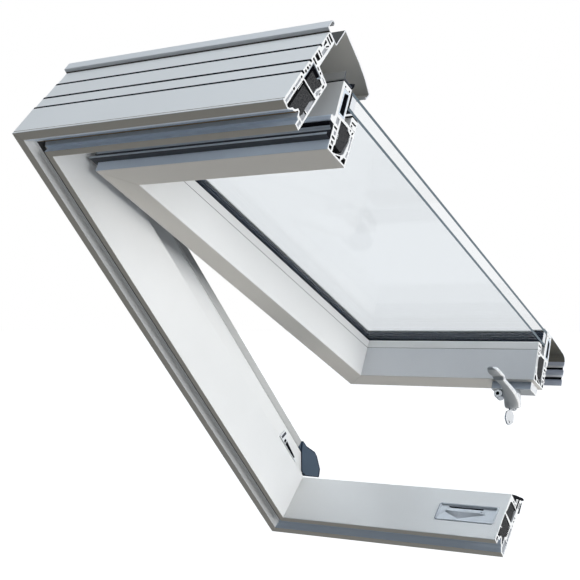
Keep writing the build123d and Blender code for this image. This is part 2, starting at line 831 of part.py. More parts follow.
arm = outline(
    (hinge_s - 26.0, sash_leg_top),
    (hinge_s + 2.0, sash_leg_top),
    (hinge_s + hinge_eye_radius, hinge_d),
    (hinge_s, hinge_d + hinge_eye_radius, hinge_s - hinge_eye_radius, hinge_d),
    (hinge_s - 26.0, sash_leg_top + hinge_plate),
)
arm -= Pos(hinge_s, hinge_d) * Circle(hinge_pin_radius + running_gap)
arm_foot = outline(
    (hinge_s - 26.0, sash_leg_top),
    (hinge_s + 2.0, sash_leg_top),
    (hinge_s + 2.0, sash_leg_top + hinge_plate),
    (hinge_s - 26.0, sash_leg_top + hinge_plate),
)
hinge_arm = side_view(arm, arm_x, arm_x + hinge_plate)
hinge_arm += side_view(arm_foot, arm_x + hinge_plate, sash_leg_width - 1.0)
save("hinge_arm", on_sash(hinge_arm))

# Handle: a base plate on the bottom rail, a lever with a round hub, and a key in its lock
handle_s = sash_length - handle_from_end
handle_centre = handle_x - sash_x
plate_half = 32.0
plate_depth = 12.5


def facing_room(face, near, far_out):
    """A shape drawn on the room face, given thickness out into the room."""
    return extrude(Pos(0, 0, -near) * face, amount=far_out - near, dir=(0, 0, -1))


plate_face = Pos(handle_centre - 2.0, handle_s + 4.0) * RectangleRounded(2 * plate_half, 2 * plate_depth, 5.0)
spindle_radius = 6.0
collar_radius = 9.0
handle_plate = facing_room(plate_face, 0.0, handle_plate_gauge)
handle_plate = chamfer(handle_plate.faces().sort_by(Axis.Z)[0].edges(), 2.5)
collar = Pos(handle_centre, handle_s) * Circle(collar_radius)
handle_plate += facing_room(collar, handle_plate_gauge, handle_plate_gauge + 4.0)
socket = Pos(handle_centre, handle_s) * Circle(spindle_radius + running_gap)
handle_plate -= facing_room(socket, 3.0, handle_plate_gauge + 5.0)
save("handle_plate", on_sash(handle_plate))

boss_face = Pos(handle_centre - plate_half + 4.0, handle_s + 2.0) * Circle(6.0)
boss_face -= Pos(handle_centre - plate_half + 4.0, handle_s + 2.0) * Circle(2.4)
boss = facing_room(boss_face, handle_plate_gauge, handle_plate_gauge + 4.5)
save("release_button", on_sash(boss))

lever_back = handle_front - lever_gauge
tip = lever_length
half = lever_width / 2
blade = outline(
    (-hub_radius, 0.0),
    (0.0, hub_radius, hub_radius, 0.0),
    (half + 7.0, -28.0),
    (half + 1.0, -62.0),
    (half, -tip + half),
    (0.0, -tip, -half, -tip + half),
    (-half + 1.0, -66.0),
    (-half - 2.0, -34.0),
)
lever_face = Pos(handle_centre, handle_s) * Rot(Z=lever_tilt) * blade
key_hole = Pos(handle_centre, handle_s) * Circle(5.0 + running_gap)
lever = facing_room(lever_face, lever_back, handle_front)
spindle = Pos(handle_centre, handle_s) * Circle(spindle_radius)
lever += facing_room(spindle, 3.0 + seat_gap, lever_back)
lever -= facing_room(key_hole, handle_front - 7.0, handle_front + 1.0)
save("handle_lever", on_sash(lever))

# Key: a round barrel in the lever's lock, with a flat stem and a bow that stands out
barrel_face = Pos(handle_centre, handle_s) * Circle(5.0)
stem_start = handle_front + 1.0
key_body = facing_room(barrel_face, handle_front - 7.0 + seat_gap, stem_start)
bow_middle = stem_start + 5.0 + key_bow / 2
bow = Circle(key_bow / 2) - Pos(0, -key_bow / 2 + 4.5) * Circle(2.4)
bow += Pos(0, key_bow / 2 + 1.0) * Rectangle(5.5, 8.0)
bow_plane = Plane(
    origin=(handle_centre, handle_s, -bow_middle),
    x_dir=(cos(radians(35)), sin(radians(35)), 0),
    z_dir=(sin(radians(35)), -cos(radians(35)), 0),
)
key_bow_solid = extrude(bow_plane * bow, amount=key_gauge / 2, both=True)
save("lock_key", on_sash(key_body + key_bow_solid))

print("sash origin on the flat frame", round(sash_x, 2), round(sash_s, 2), round(sash_d, 2))
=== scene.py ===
from math import cos, pi, radians, sin

import bmesh
import bpy
import numpy as np
from mathutils import Matrix, Vector
from mathutils.geometry import tessellate_polygon


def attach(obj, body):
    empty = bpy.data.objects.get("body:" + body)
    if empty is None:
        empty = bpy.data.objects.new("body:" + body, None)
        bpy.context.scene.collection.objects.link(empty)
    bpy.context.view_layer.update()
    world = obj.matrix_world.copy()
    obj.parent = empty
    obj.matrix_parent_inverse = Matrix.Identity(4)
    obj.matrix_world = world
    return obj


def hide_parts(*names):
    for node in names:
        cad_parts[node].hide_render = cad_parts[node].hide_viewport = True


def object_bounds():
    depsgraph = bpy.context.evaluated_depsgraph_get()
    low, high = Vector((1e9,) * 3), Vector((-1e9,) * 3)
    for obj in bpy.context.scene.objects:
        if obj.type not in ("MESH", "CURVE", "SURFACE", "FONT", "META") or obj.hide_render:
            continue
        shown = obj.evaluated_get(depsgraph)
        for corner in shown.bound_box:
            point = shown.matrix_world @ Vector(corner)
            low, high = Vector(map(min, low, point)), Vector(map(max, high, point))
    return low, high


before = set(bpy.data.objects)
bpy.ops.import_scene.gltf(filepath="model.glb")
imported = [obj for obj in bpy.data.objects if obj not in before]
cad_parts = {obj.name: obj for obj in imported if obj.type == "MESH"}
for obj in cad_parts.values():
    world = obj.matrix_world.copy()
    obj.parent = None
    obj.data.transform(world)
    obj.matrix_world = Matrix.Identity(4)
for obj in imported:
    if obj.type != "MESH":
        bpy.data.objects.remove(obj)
cad_low, cad_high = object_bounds()


# Camera: the photograph was taken from the room side, low and to the right of the head,
# and looks up a little. Its place was solved from the corners of the frame and sash.
def in_scene(name, data):
    """Object with this data, linked to the scene."""
    thing = bpy.data.objects.new(name, data)
    bpy.context.scene.collection.objects.link(thing)
    return thing


camera_place = Vector((1.0489, -1.2950, 0.0321))
camera_forward = Vector((-0.54657, 0.83696, 0.02767)).normalized()
camera_up = Vector((0.01691, -0.02200, 0.99961))
camera_right = camera_forward.cross(camera_up).normalized()
camera_turn = Matrix((camera_right, camera_right.cross(camera_forward), -camera_forward)).transposed()
camera_data = bpy.data.cameras.new("photo_camera")
camera_data.lens = 74.0
camera_data.sensor_width = 36.0
camera_data.clip_start = 0.01
camera = in_scene("photo_camera", camera_data)
camera.matrix_world = Matrix.Translation(camera_place) @ camera_turn.to_4x4()
bpy.context.scene.camera = camera
bpy.context.scene.view_settings.view_transform = "Standard"


# Studio: a white room with a pale floor. One broad soft light stands on the section's
# side, a cooler one hangs above and a warm one, as off sunlit ground, comes from below.
def empty_tree(owner):
    """Gives a world or material a node tree with no nodes."""
    owner.use_nodes = True
    owner.node_tree.nodes.clear()
    return owner.node_tree


def add(tree, kind, inputs=None, **settings):
    """Adds a shader node with its settings and gives back its outputs. Each input, by its
    name or number, gets a value, or a link from the output that is given for it."""
    node = tree.nodes.new("ShaderNode" + kind)
    for name, value in settings.items():
        setattr(node, name, value)
    for name, value in (inputs or {}).items():
        if isinstance(value, bpy.types.NodeSocket):
            tree.links.new(value, node.inputs[name])
        else:
            node.inputs[name].default_value = value
    return node.outputs


def surface(tree, inputs):
    """Adds a material's shader with these inputs, and its output."""
    add(tree, "OutputMaterial", {0: add(tree, "BsdfPrincipled", inputs)[0]})


world = bpy.data.worlds.new("white_studio")
bpy.context.scene.world = world
tree = empty_tree(world)
path = add(tree, "LightPath")
seen = add(tree, "Math", {0: path["Is Camera Ray"], 1: path["Is Transmission Ray"]}, operation="MAXIMUM")[0]
glossy_wall, lit_wall, seen_wall = [
    add(tree, "Background", {"Color": (*colour, 1), "Strength": strength})[0]
    for colour, strength in (((0.72, 0.86, 1.0), 0.10), ((0.90, 0.95, 1.0), 0.55), ((1, 1, 1), 1.0))
]
shine = add(tree, "MixShader", {0: path["Is Glossy Ray"], 1: glossy_wall, 2: lit_wall})[0]
both = add(tree, "MixShader", {0: seen, 1: shine, 2: seen_wall})[0]
add(tree, "OutputWorld", {"Surface": both})


def broad_light(name, come_from, spread, power, colour):
    """Far light whose rays come from a direction and its surroundings, spread degrees
    across. The power is its light on a surface that faces it, over pi."""
    data = bpy.data.lights.new(name, "SUN")
    data.angle = radians(spread)
    data.energy = power * pi
    data.color = colour
    in_scene(name, data).matrix_world = (-Vector(come_from)).to_track_quat("-Z", "Y").to_matrix().to_4x4()


broad_light("side_light", (1.0, -0.05, 0.1), 40, 0.84, (0.975, 0.987, 1.0))
broad_light("sky_light", (-0.1, -0.15, 1.0), 60, 0.68, (0.86, 0.93, 1.0))
broad_light("ground_light", (0.15, 0.55, -0.83), 60, 0.46, (1.0, 0.965, 0.92))

floor_drop = 0.25
half = 60.0
floor_z = cad_low.z - floor_drop
floor_mesh = bpy.data.meshes.new("floor")
floor_mesh.from_pydata(
    [(-half, -half, floor_z), (half, -half, floor_z), (half, half, floor_z), (-half, half, floor_z)],
    [], [(0, 1, 2, 3)],
)
floor = in_scene("floor", floor_mesh)
floor_paint = bpy.data.materials.new("pale_floor")
surface(empty_tree(floor_paint), {
    "Base Color": (0.45, 0.45, 0.45, 1), "Roughness": 1.0, "Specular IOR Level": 0.0,
    "Emission Color": (1, 1, 1, 1), "Emission Strength": 0.74,
})
floor_mesh.materials.append(floor_paint)
floor.visible_shadow = floor.visible_diffuse = floor.visible_glossy = False


# PVC frame profiles: white extrusions with thin walls and many chambers, cut at their
# mitres and welded there. Their sawn ends show brighter and rougher than their skins.
mm = 0.001
pitch = radians(45.0)
frame_length = 780.0
section = 387.0
fixing_height = 25.0
reveal = 81.0
upstand = 127.0
weld_depth = 0.35
weld_width = 0.6


def on_roof(x, s, d):
    """Places of the flat drawing in millimetres, put on the tilted roof in metres. x runs
    along the head, s down the slope and d out of the roof, and the slope is turned by the
    roof's pitch about the fixing point half way down the jamb."""
    x, s, d = np.broadcast_arrays(np.asarray(x, float), s, d)
    down = s - frame_length / 2
    out = d - fixing_height
    y = down * cos(pitch) + out * sin(pitch)
    z = out * cos(pitch) - down * sin(pitch)
    return np.stack([x, y, z], axis=-1) * mm


def rounded(corners, radius=0.5, steps=4):
    """Closed outline with curved corners. Each corner, with its own radius as a third
    number or the common one, is cut back by radius / tan(half its inner angle), at most
    0.45 of either edge. A quadratic curve joins the two cuts with the corner as its
    control point: (1-t)^2 before + 2t(1-t) corner + t^2 after."""
    radii = np.array([c[2] if len(c) > 2 else radius for c in corners], float)
    points = np.array([c[:2] for c in corners], float)
    to_before = np.roll(points, 1, 0) - points
    to_after = np.roll(points, -1, 0) - points
    long_before = np.linalg.norm(to_before, axis=1)
    long_after = np.linalg.norm(to_after, axis=1)
    turn = np.sum(to_before * to_after, 1) / (long_before * long_after)
    inner = np.arccos(np.clip(turn, -1, 1))
    cut = radii / np.tan(np.maximum(inner, 0.05) / 2)
    cut = np.minimum(cut, 0.45 * np.minimum(long_before, long_after))
    before = points + to_before * (cut / long_before)[:, None]
    after = points + to_after * (cut / long_after)[:, None]
    t = np.linspace(0, 1, steps + 1)[None, :, None]
    curve = (1 - t) ** 2 * before[:, None] + 2 * t * (1 - t) * points[:, None] + t**2 * after[:, None]
    return curve.reshape(-1, 2)


def unit(vectors):
    """The same directions with length 1."""
    return vectors / np.maximum(np.linalg.norm(vectors, axis=1), 1e-9)[:, None]


def outward(loop):
    """Unit normals of a closed outline: the mean of the normals of its two edges."""
    step = np.roll(loop, -1, 0) - loop
    normal = unit(np.stack([step[:, 1], -step[:, 0]], 1))
    area = np.sum(loop[:, 0] * np.roll(loop[:, 1], -1) - np.roll(loop[:, 0], -1) * loop[:, 1])
    return unit(normal + np.roll(normal, 1, 0)) * np.sign(area)


def head_way(width=section):
    """Along the head: from the mitre, where x equals u, to a width. Every way gives x and
    s for u, the share of the run that is done and a distance past that."""
    return lambda u, share, past: (u + share * (width - u) + past, u)


def jamb_way(length=frame_length, mitres=2):
    """Down the jamb: from the upper mitre, where s equals u, to the lower one or an end."""
    return lambda u, share, past: (u, u + share * (length - mitres * u) + past)


def foot_way(width=section, length=frame_length):
    """Along the sill: from the mitre to a width, u being the distance from its foot."""
    return lambda u, share, past: (u + share * (width - u) + past, length - u)


def straight_way(start, end, foot=None):
    """Straight along x between two places, at u from the head or, with a foot, from it."""
    if foot is None:
        return lambda u, share, past: (start + share * (end - start) + past + 0 * u, u)
    return lambda u, share, past: (start + share * (end - start) + past + 0 * u, foot - u)


def down_way(start, end):
    """Straight down the slope between two places, at x equal to u."""
    return lambda u, share, past: (u, start + share * (end - start) + past + 0 * u)


welded_start = ((0, 0, weld_depth), (0, weld_width, 0), (1, 0, 0))
welded_both = ((0, 0, weld_depth), (0, weld_width, 0), (1, -weld_width, 0), (1, 0, weld_depth))
plain_run = ((0, 0, 0), (1, 0, 0))


def shell(loops, way, place=on_roof, stops=plain_run, cut_end=True, lit=1, dark=(), light=()):
    """Closed bar: a point (u, d) of the loops goes to place(way(u, share, past), d) for
    each stop (share, past, sunk), where sunk draws the first loop in along its normals.
    The first loop is the outer side and the rest are chambers. A chamber's walls take
    material 2, painted shade, or 3, painted light, on the side towards which lit points
    along u; the loops in dark are 2 all round and those in light are 3. Both ends are
    filled between the loops. Gives corners, faces, their UV and each face's material number."""
    sizes = [len(loop) for loop in loops]
    points = np.concatenate(loops)
    count = len(points)
    draw = np.concatenate([outward(loops[0])] + [np.zeros((n, 2)) for n in sizes[1:]])
    rings = []
    for share, past, sunk in stops:
        ring = points - draw * sunk
        rings.append(place(*way(ring[:, 0], share, past), ring[:, 1]))
    runs = [np.linalg.norm(ring - rings[0], axis=1) for ring in rings]
    faces, coordinates, numbers = [], [], []
    base = 0
    for number, (loop, n) in enumerate(zip(loops, sizes)):
        i = base + np.arange(n)
        j = base + (np.arange(n) + 1) % n
        girth = np.concatenate([[0], np.cumsum(np.linalg.norm(np.roll(loop, -1, 0) - loop, axis=1))]) * mm
        towards = outward(loop)[:, 0] + np.roll(outward(loop)[:, 0], -1)
        pale = (towards * lit > 1.1) & (number not in dark) | (number in light)
        for k in range(len(stops) - 1):
            faces += (np.stack([i, j, j + count, i + count], 1) + k * count).tolist()
            u = np.stack([girth[:-1], girth[1:], girth[1:], girth[:-1]], 1)
            v = np.stack([runs[k][i], runs[k][j], runs[k + 1][j], runs[k + 1][i]], 1)
            coordinates.append(np.stack([u, v], 2).reshape(-1, 2))
            numbers.append(np.where(pale, 3, 2) * (number > 0))
        base += n
    triangles = np.array(tessellate_polygon([[Vector((*p, 0)) for p in loop] for loop in loops]))
    for end, number in ((0, 0), ((len(stops) - 1) * count, int(cut_end))):
        faces += (triangles + end).tolist()
        coordinates.append(points[triangles].reshape(-1, 2) * mm)
        numbers.append(np.full(len(triangles), number))
    return np.concatenate(rings), faces, np.concatenate(coordinates), np.concatenate(numbers)


def bars(outlines, way, place=on_roof):
    """A plain bar for each outline, all along one way."""
    return [shell([np.array(outline, float)], way, place) for outline in outlines]


def painted(bar, loop, chosen, number, runs=1):
    """Gives another material to the sides of a bar that are chosen by the middles of its
    outline's edges, where chosen takes their u and d, on its first runs."""
    middle = (loop + np.roll(loop, -1, 0)) / 2
    mask = np.tile(chosen(middle[:, 0], middle[:, 1]), runs)
    bar[3][: len(mask)][mask] = number
    return bar


def banded(bar, loop, runs, bands):
    """Gives each band of the room side, from a low to a high u, its material number."""
    for number, low, high in bands:
        painted(bar, loop, lambda u, d: (u > low) & (u <= high) & (d < 16.0) & (d > -0.1), number, runs)
    return bar


def grid_shell(surface, closed_v=False):
    """Faces of a grid of places: surface[i, j] joins its neighbours in both directions,
    and round to the start of j where that is closed. UV are the shares of the way."""
    rows, columns = surface.shape[:2]
    i, j = np.meshgrid(np.arange(rows - 1), np.arange(columns if closed_v else columns - 1), indexing="ij")
    i, j = i.ravel(), j.ravel()
    ni, nj = (i + 1) % rows, (j + 1) % columns
    faces = np.stack([i * columns + j, ni * columns + j, ni * columns + nj, i * columns + nj], 1)
    u = np.stack([i, i + 1, i + 1, i], 1) / rows
    v = np.stack([j, j, j + 1, j + 1], 1) / columns
    uv = np.stack([u, v], 2).reshape(-1, 2)
    return surface.reshape(-1, 3), faces.tolist(), uv, np.zeros(len(faces), int)


def piece(name, shells, materials, body, slot, *stands_for, smooth=32.0, weighted=True):
    """One object from one or more shells, with its normals turned outwards. It takes the
    place of the CAD nodes that it stands for."""
    places, faces, coordinates, numbers = zip(*shells)
    starts = np.cumsum([0] + [len(part) for part in places]).tolist()
    faces = [[index + start for index in face] for part, start in zip(faces, starts) for face in part]
    mesh = bpy.data.meshes.new(name)
    mesh.from_pydata(np.concatenate(places).tolist(), [], faces)
    mesh.uv_layers.new(name="run").data.foreach_set("uv", np.concatenate(coordinates).ravel())
    mesh.polygons.foreach_set("material_index", np.concatenate(numbers).tolist())
    work = bmesh.new()
    work.from_mesh(mesh)
    bmesh.ops.recalc_face_normals(work, faces=work.faces)
    work.to_mesh(mesh)
    work.free()
    for material in materials if isinstance(materials, list) else [materials] * 2:
        mesh.materials.append(material)
    mesh.shade_smooth()
    mesh.set_sharp_from_angle(angle=radians(smooth))
    thing = in_scene(name, mesh)
    if weighted:
        thing.modifiers.new("even_normals", "WEIGHTED_NORMAL").keep_sharp = True
    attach(thing, body)
    if stands_for:
        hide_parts(*stands_for)
    return thing


def group_of(name, values, results):
    """Node group with a vector and values, with their defaults, as inputs. Gives the
    group, the inner side of its inputs and that of its results."""
    group = bpy.data.node_groups.new(name, "ShaderNodeTree")
    face = group.interface
    face.new_socket("Vector", in_out="INPUT", socket_type="NodeSocketVector")
    for socket, value in values.items():
        face.new_socket(socket, in_out="INPUT", socket_type="NodeSocketFloat").default_value = value
    for socket in results:
        face.new_socket(socket, in_out="OUTPUT", socket_type="NodeSocketFloat")
    return group, group.nodes.new("NodeGroupInput").outputs, group.nodes.new("NodeGroupOutput").inputs


# fine_grain gives fine grain and broad patches, as two noises on the given coordinates.
fine_grain, start, end = group_of("fine_grain", {"Fine": 900.0, "Broad": 9.0}, ("Height", "Patch"))
for scale, out, detail in (("Fine", "Height", 2.0), ("Broad", "Patch", 4.0)):
    noise = add(fine_grain, "TexNoise", {"Vector": start["Vector"], "Scale": start[scale], "Detail": detail})
    fine_grain.links.new(noise["Fac"], end[out])

# die_lines gives an extrusion's lines: a noise squeezed across the run and drawn out along it.
die_lines, start, end = group_of("die_lines", {"Across": 700.0}, ("Lines",))
apart = add(die_lines, "SeparateXYZ", {0: start["Vector"]})
across = add(die_lines, "Math", {0: apart["X"], 1: start["Across"]}, operation="MULTIPLY")[0]
along = add(die_lines, "Math", {0: apart["Y"], 1: 1.5}, operation="MULTIPLY")[0]
drawn_out = add(die_lines, "CombineXYZ", {"X": across, "Y": along})[0]
noise = add(die_lines, "TexNoise", {"Vector": drawn_out, "Scale": 1.0, "Detail": 3.0})
die_lines.links.new(noise["Fac"], end["Lines"])


def finish_of(name, light, dark, rough, metal=0.0, fine=900.0, broad=9.0, grain=0.1, lines=0.0,
              shade=None, **plain):
    """Material whose colour and gloss wander between two values with the broad patches,
    with fine grain and, on extrusions, die lines in its bump. shade may change its colour,
    and plain are values of the shader's own sockets."""
    material = bpy.data.materials.new(name)
    tree = empty_tree(material)
    place = add(tree, "TexCoord")
    scales = {"Vector": place["Object"], "Fine": fine, "Broad": broad}
    grains = add(tree, "Group", scales, node_tree=fine_grain)
    mixed = {"A": (*dark, 1), "B": (*light, 1), "Factor": grains["Patch"]}
    tint = add(tree, "Mix", mixed, data_type="RGBA")["Result"]
    gloss = {"Value": grains["Patch"], "From Min": 0.3, "From Max": 0.7}
    gloss.update({"To Min": rough[0], "To Max": rough[1]})
    height = grains["Height"]
    if lines:
        drawn = add(tree, "Group", {"Vector": place["UV"]}, node_tree=die_lines)["Lines"]
        height = add(tree, "Math", {0: drawn, 1: lines, 2: height}, operation="MULTIPLY_ADD")[0]
    surface(tree, {
        "Base Color": shade(tree, place["UV"], tint) if shade else tint,
        "Metallic": metal,
        "Roughness": add(tree, "MapRange", gloss)[0],
        "Normal": add(tree, "Bump", {"Strength": grain, "Distance": 0.0004, "Height": height})[0],
        **{socket.replace("_", " "): value for socket, value in plain.items()},
    })
    return material


# Finish 0 is the PVC's own skin and 1 its sawn ends, which also serve as painted light. Finishes 2 to 9 are
# painted light and shade: chamber shade and light, cool sky light, deep shade, room side shade, warm bounce
# light, cool shade and dim shade.
profile_finish = [
    finish_of("white_pvc_skin", (0.80, 0.80, 0.79), (0.76, 0.76, 0.75), (0.30, 0.42), lines=1.2),
    finish_of("white_pvc_sawn_and_painted_light", (0.95, 0.95, 0.94), (0.88, 0.88, 0.87), (0.6, 0.75), fine=1600, grain=0.3),
    # Chamber walls: painted shade, and painted light on the side that faces the lamp.
    finish_of("pvc_chamber_painted_shade", (0.030, 0.030, 0.030), (0.016, 0.016, 0.018), (0.7, 0.8)),
    finish_of("pvc_chamber_painted_light", (0.86, 0.86, 0.88), (0.80, 0.80, 0.82), (0.5, 0.6)),
    finish_of("pvc_painted_sky_light", (0.78, 0.86, 0.96), (0.72, 0.81, 0.92), (0.30, 0.42), lines=1.2),
    finish_of("pvc_painted_deep_shade", (0.40, 0.29, 0.18), (0.33, 0.24, 0.145), (0.5, 0.6), lines=1.2),
    finish_of("pvc_painted_room_shade", (0.59, 0.545, 0.475), (0.545, 0.505, 0.44), (0.38, 0.5), lines=1.2),
    finish_of("pvc_painted_warm_bounce", (0.77, 0.735, 0.68), (0.73, 0.70, 0.645), (0.32, 0.44), lines=1.2),
    finish_of("pvc_painted_cool_shade", (0.77, 0.82, 0.88), (0.73, 0.78, 0.84), (0.30, 0.42), lines=1.2),
    finish_of("pvc_painted_dim_shade", (0.675, 0.685, 0.70), (0.64, 0.65, 0.665), (0.30, 0.42), lines=1.2),
]
joint_deep = 5.4
joint_heights = (100.5, 71.5, 50.5)


def joint_slot(height, face):
    """Slot between two cladding strips, cut in from the profile's outer side."""
    return [(face, height + 2.0, 0.4), (2.6, height + 2.9, 0.8), (4.6, height + 2.6, 0.5),
            (4.6, height - 0.2, 0.5), (2.6, height - 0.6, 0.6)]


room_side = [(0, 0, 0.9), (11.4, 0, 0.8), (15.4, 3.8, 1.2), (17.6, 6.8, 0.8), (20.6, 8.2, 1),
    (22.6, 10.4, 1), (24.4, 14.4, 1.4), (26.2, 14.6, 1), (27.6, 11.2, 0.8), (28.2, 8.8, 0.5),
    (31.4, 8.4, 0.5), (31.2, 0.3, 0.5)]
outer_side = [(15.2, 127, 0.8), (4, 127, 0.5), (2, 125.2, 0.8)]
for height, upper, lower in zip(joint_heights, (2.0, 1.4, 0.8), (1.4, 0.8, 0.0)):
    outer_side += joint_slot(height, upper) + [(lower, height - 2.0, 0.6)]
outer_side += [(0, 3.9, 0.2), (0.8, 3.7, 0.1), (0.8, 3.1, 0.1), (0, 2.9, 0.2)]
frame_outline = rounded(room_side + [(39.8, 0.3, 1), (40, 81, 1), (17, 82.5, 0.6),
    (17, 125.2, 0.6)] + outer_side)


def comb(u, low, count, step, reach):
    """Teeth along a chamber's wall, from low upwards, that stand into the foam."""
    return [(u + out * reach, low + k * step + up)
            for k in range(count) for out, up in ((0, 0), (1, 0.15), (1, 0.75), (0, 0.9))]


def cell(low, high, inner, outer):
    """Four sided void."""
    return [(inner, low), (outer, low), (outer, high), (inner, high)]


def hollows(chambers, voids):
    """Outlines of a profile's large chambers and of its small voids."""
    return [rounded(loop, 0.3, 2) for loop in chambers] + [rounded(loop, 0.5, 2) for loop in voids]


room_chamber = [(7.8, 2), (11.2, 2), (14.2, 5.2), (16.2, 8.8), (19.6, 10.4), (21.3, 12.6), (23.2, 16.6),
    (26.8, 16.8), (29.4, 13), (37.4, 12.8), (37.4, 25.4), (32.6, 25.2, 0.2), (32.6, 26.2, 0.2), (37.4, 27.4),
    (37.4, 51), (8.4, 46.4), *reversed(comb(7.8, 31, 5, 2.5, 2.2))]
outer_chamber = [(7, 48.2), (30.6, 52), (30.4, 60), (33.6, 68), (33.6, 72.4), (27.8, 73.4), (27.4, 76.3),
    (7, 76.3)]
frame_voids = [cell(2.6, 21.2, 2.9, 5.7), cell(22.6, 26.8, 2.9, 5.7), cell(28.2, 42.4, 2.9, 5.7),
    cell(43.8, 47, 2.9, 5.4), cell(2.4, 10.8, 33.4, 37.4), [(32.4, 54.8), (36.2, 54.8), (36.2, 66),
    (35.4, 66.8), (32.4, 59.6)], cell(59.4, 63.4, 37, 38.5), cell(70.4, 75.4, 35.4, 38),
    cell(55, 58.4, 3, 6.2), cell(60.6, 64, 3, 6.2), cell(66.2, 68.8, 3.8, 6.2), [(3.4, 76.6), (6.4, 77.5),
    (11, 77.5), (12.8, 80.4), (3.4, 80.4)], cell(77.5, 79.9, 15, 19.8), cell(77.5, 79.9, 21.8, 25),
    cell(77.6, 79.4, 29, 36.6), [(3.6, 83.2), (10.8, 83.2), (12.6, 89.8), (3.6, 89.8)],
    cell(92.4, 94.8, 3.8, 12.8), [(8.8, 97), (13.6, 97), (13.6, 111.6), (11.2, 106.6), (8.8, 106.6)],
    [(8.8, 108.4), (10.6, 107.8), (13.6, 113.8), (12.4, 114.8)], [(5.8, 105.8), (7.2, 105.8), (8, 114),
    (3.8, 114)], cell(116.7, 119.5, 3.8, 13.6), cell(121.7, 125.2, 3.8, 13.6)]
# Chambers whose walls are painted shade all round, and those painted light all round.
black_cells = {4, 6, 9, 10, 11, 12, 13, 14, 15, 16, 18, 19, 21, 22, 23, 24}
light_cells = {3, 5, 7, 8, 17, 20}
frame_loops = [frame_outline] + hollows([room_chamber, outer_chamber], frame_voids)
head_bar = shell(frame_loops, head_way(), on_roof, welded_start, dark=black_cells, light=light_cells)
# Painted light and shade on the room side: shade on the flat bands, a cool sky light on the groove's rising
# faces and deep shade in the groove. The inner reveal takes a painted cool shade, and the upstand's inner wall
# takes the sawn finish as painted light.
banded(head_bar, frame_outline, 2,
       ((6, 0.4, 11.4), (4, 11.4, 20.8), (5, 20.8, 26.3), (4, 26.3, 31.4), (6, 31.4, 39.6)))
painted(head_bar, frame_outline, lambda u, d: (u > 39.5) & (d > 2.0) & (d < 80.5), 8, 2)
painted(head_bar, frame_outline, lambda u, d: (abs(u - 17.0) < 0.1) & (d > 84.0), 1, 2)
piece("head_profile", [head_bar], profile_finish, "frame", "white_pvc", "frame_head")
jamb_bar = shell(frame_loops[:3], jamb_way(), on_roof, welded_both, False)
# Painted light and shade on the room side: shade on its flat bands, the sawn finish as painted light on the
# groove's slope, and painted shade deep in the groove.
banded(jamb_bar, frame_outline, 3, ((6, 0.4, 11.4), (1, 11.4, 20.8), (2, 20.8, 28.3), (6, 31.3, 39.6)))
piece("jamb_profile", [jamb_bar], profile_finish, "frame", "white_pvc", "frame_jamb")


# Sill profile: the same room side, and a top that falls outwards under its gasket. The
# latch tray is let into its reveal, so the bar is made in three lengths.
tray_left, tray_right = 285.0, 377.0
tray_low, tray_high = 24.5, 55.5
tray_deep = 7.0


def sill_reveal(d):
    """Distance of the sill's leaning reveal face from the foot, at a height."""
    return 40.9 - 3.3 * d / reveal


sill_back = [(-0.2, 95.5, 0.5)]
for rib in np.arange(92.0, 54.0, -4.0):
    sill_back += [(1.2, rib, 0.2), (2.4, rib - 0.5, 0.2), (2.4, rib - 1.5, 0.2), (1.2, rib - 2.0, 0.2)]
sill_back += [(1.2, 51.5, 0.2), (joint_deep, 51.5, 0.1), (joint_deep, 49.5, 0.1), (0.0, 49.2, 0.5)]
sill_top = [(37.6, reveal, 0.8), (18.2, reveal, 0.3), (18.2, 87.6, 0.5), (12.2, 90.4, 0.5),
            (12.2, 76.6, 0.2), (7.6, 76.6, 0.2), (7.6, 93.6, 0.5), (4.0, 95.5, 0.6)]
notch = [(sill_reveal(d) - deep, d) for d, deep in
         ((tray_low, 0), (tray_low, tray_deep), (tray_high, tray_deep), (tray_high, 0))]
sill_outline, notched_outline = [
    rounded(room_side + [(40.7, 0.3, 1.0)] + cut + sill_top + sill_back) for cut in ([], notch)
]
sill_room_chamber = [(14.8, 10.2), (18.6, 10.4), (20.4, 12.2), (22.6, 16.6), (27.2, 16.8), (30, 12.4),
    (37.8, 10.8), (37.6, 24), (32.6, 26.2, 0.2), (32.8, 27.4, 0.2), (37.5, 25.6), (37.2, 47.4),
    (10.4, 45.6)]
sill_room_chamber += [*reversed(comb(9.4, 28, 6, 2.8, 2.6)), (14.8, 24)]
sill_outer_chamber = [(8.2, 57), (11.4, 50.2), (36.6, 50.2), (34, 57), (32.8, 70.6), (28.6, 74.2),
    (8.2, 74.2)]
sill_voids = [[(2.6, 2.8), (9.6, 2.8), (13.2, 7.4), (13.2, 21.4), (2.6, 21.4)], [(2.9, 23.4), (7.4, 23.4),
    (7.4, 45.6), (2.9, 45.6)], cell(2.4, 9, 33.4, 38), [(2.8, 80), (5.8, 80), (5.8, 89.6), (2.8, 90.6)],
    cell(82.6, 87.2, 13.8, 16.6), cell(76.4, 78.8, 15, 19), cell(76.4, 78.8, 21.4, 25.4),
    cell(62.4, 64.4, 2.8, 6.4), cell(56.4, 58.4, 2.8, 6.4)]
# Chambers whose walls are painted shade all round, and those painted light all round.
sill_black = {8, 9}
sill_light = {3, 4}
sill_loops = [sill_outline] + hollows([sill_room_chamber, sill_outer_chamber], sill_voids)
before_tray = shell(sill_loops, foot_way(tray_left), on_roof, welded_start, False, -1, sill_black)
beside_tray = shell([notched_outline], straight_way(tray_left, tray_right, frame_length))
after_tray = shell(sill_loops, straight_way(tray_right, section, frame_length), lit=-1, dark=sill_black,
                   light=sill_light)
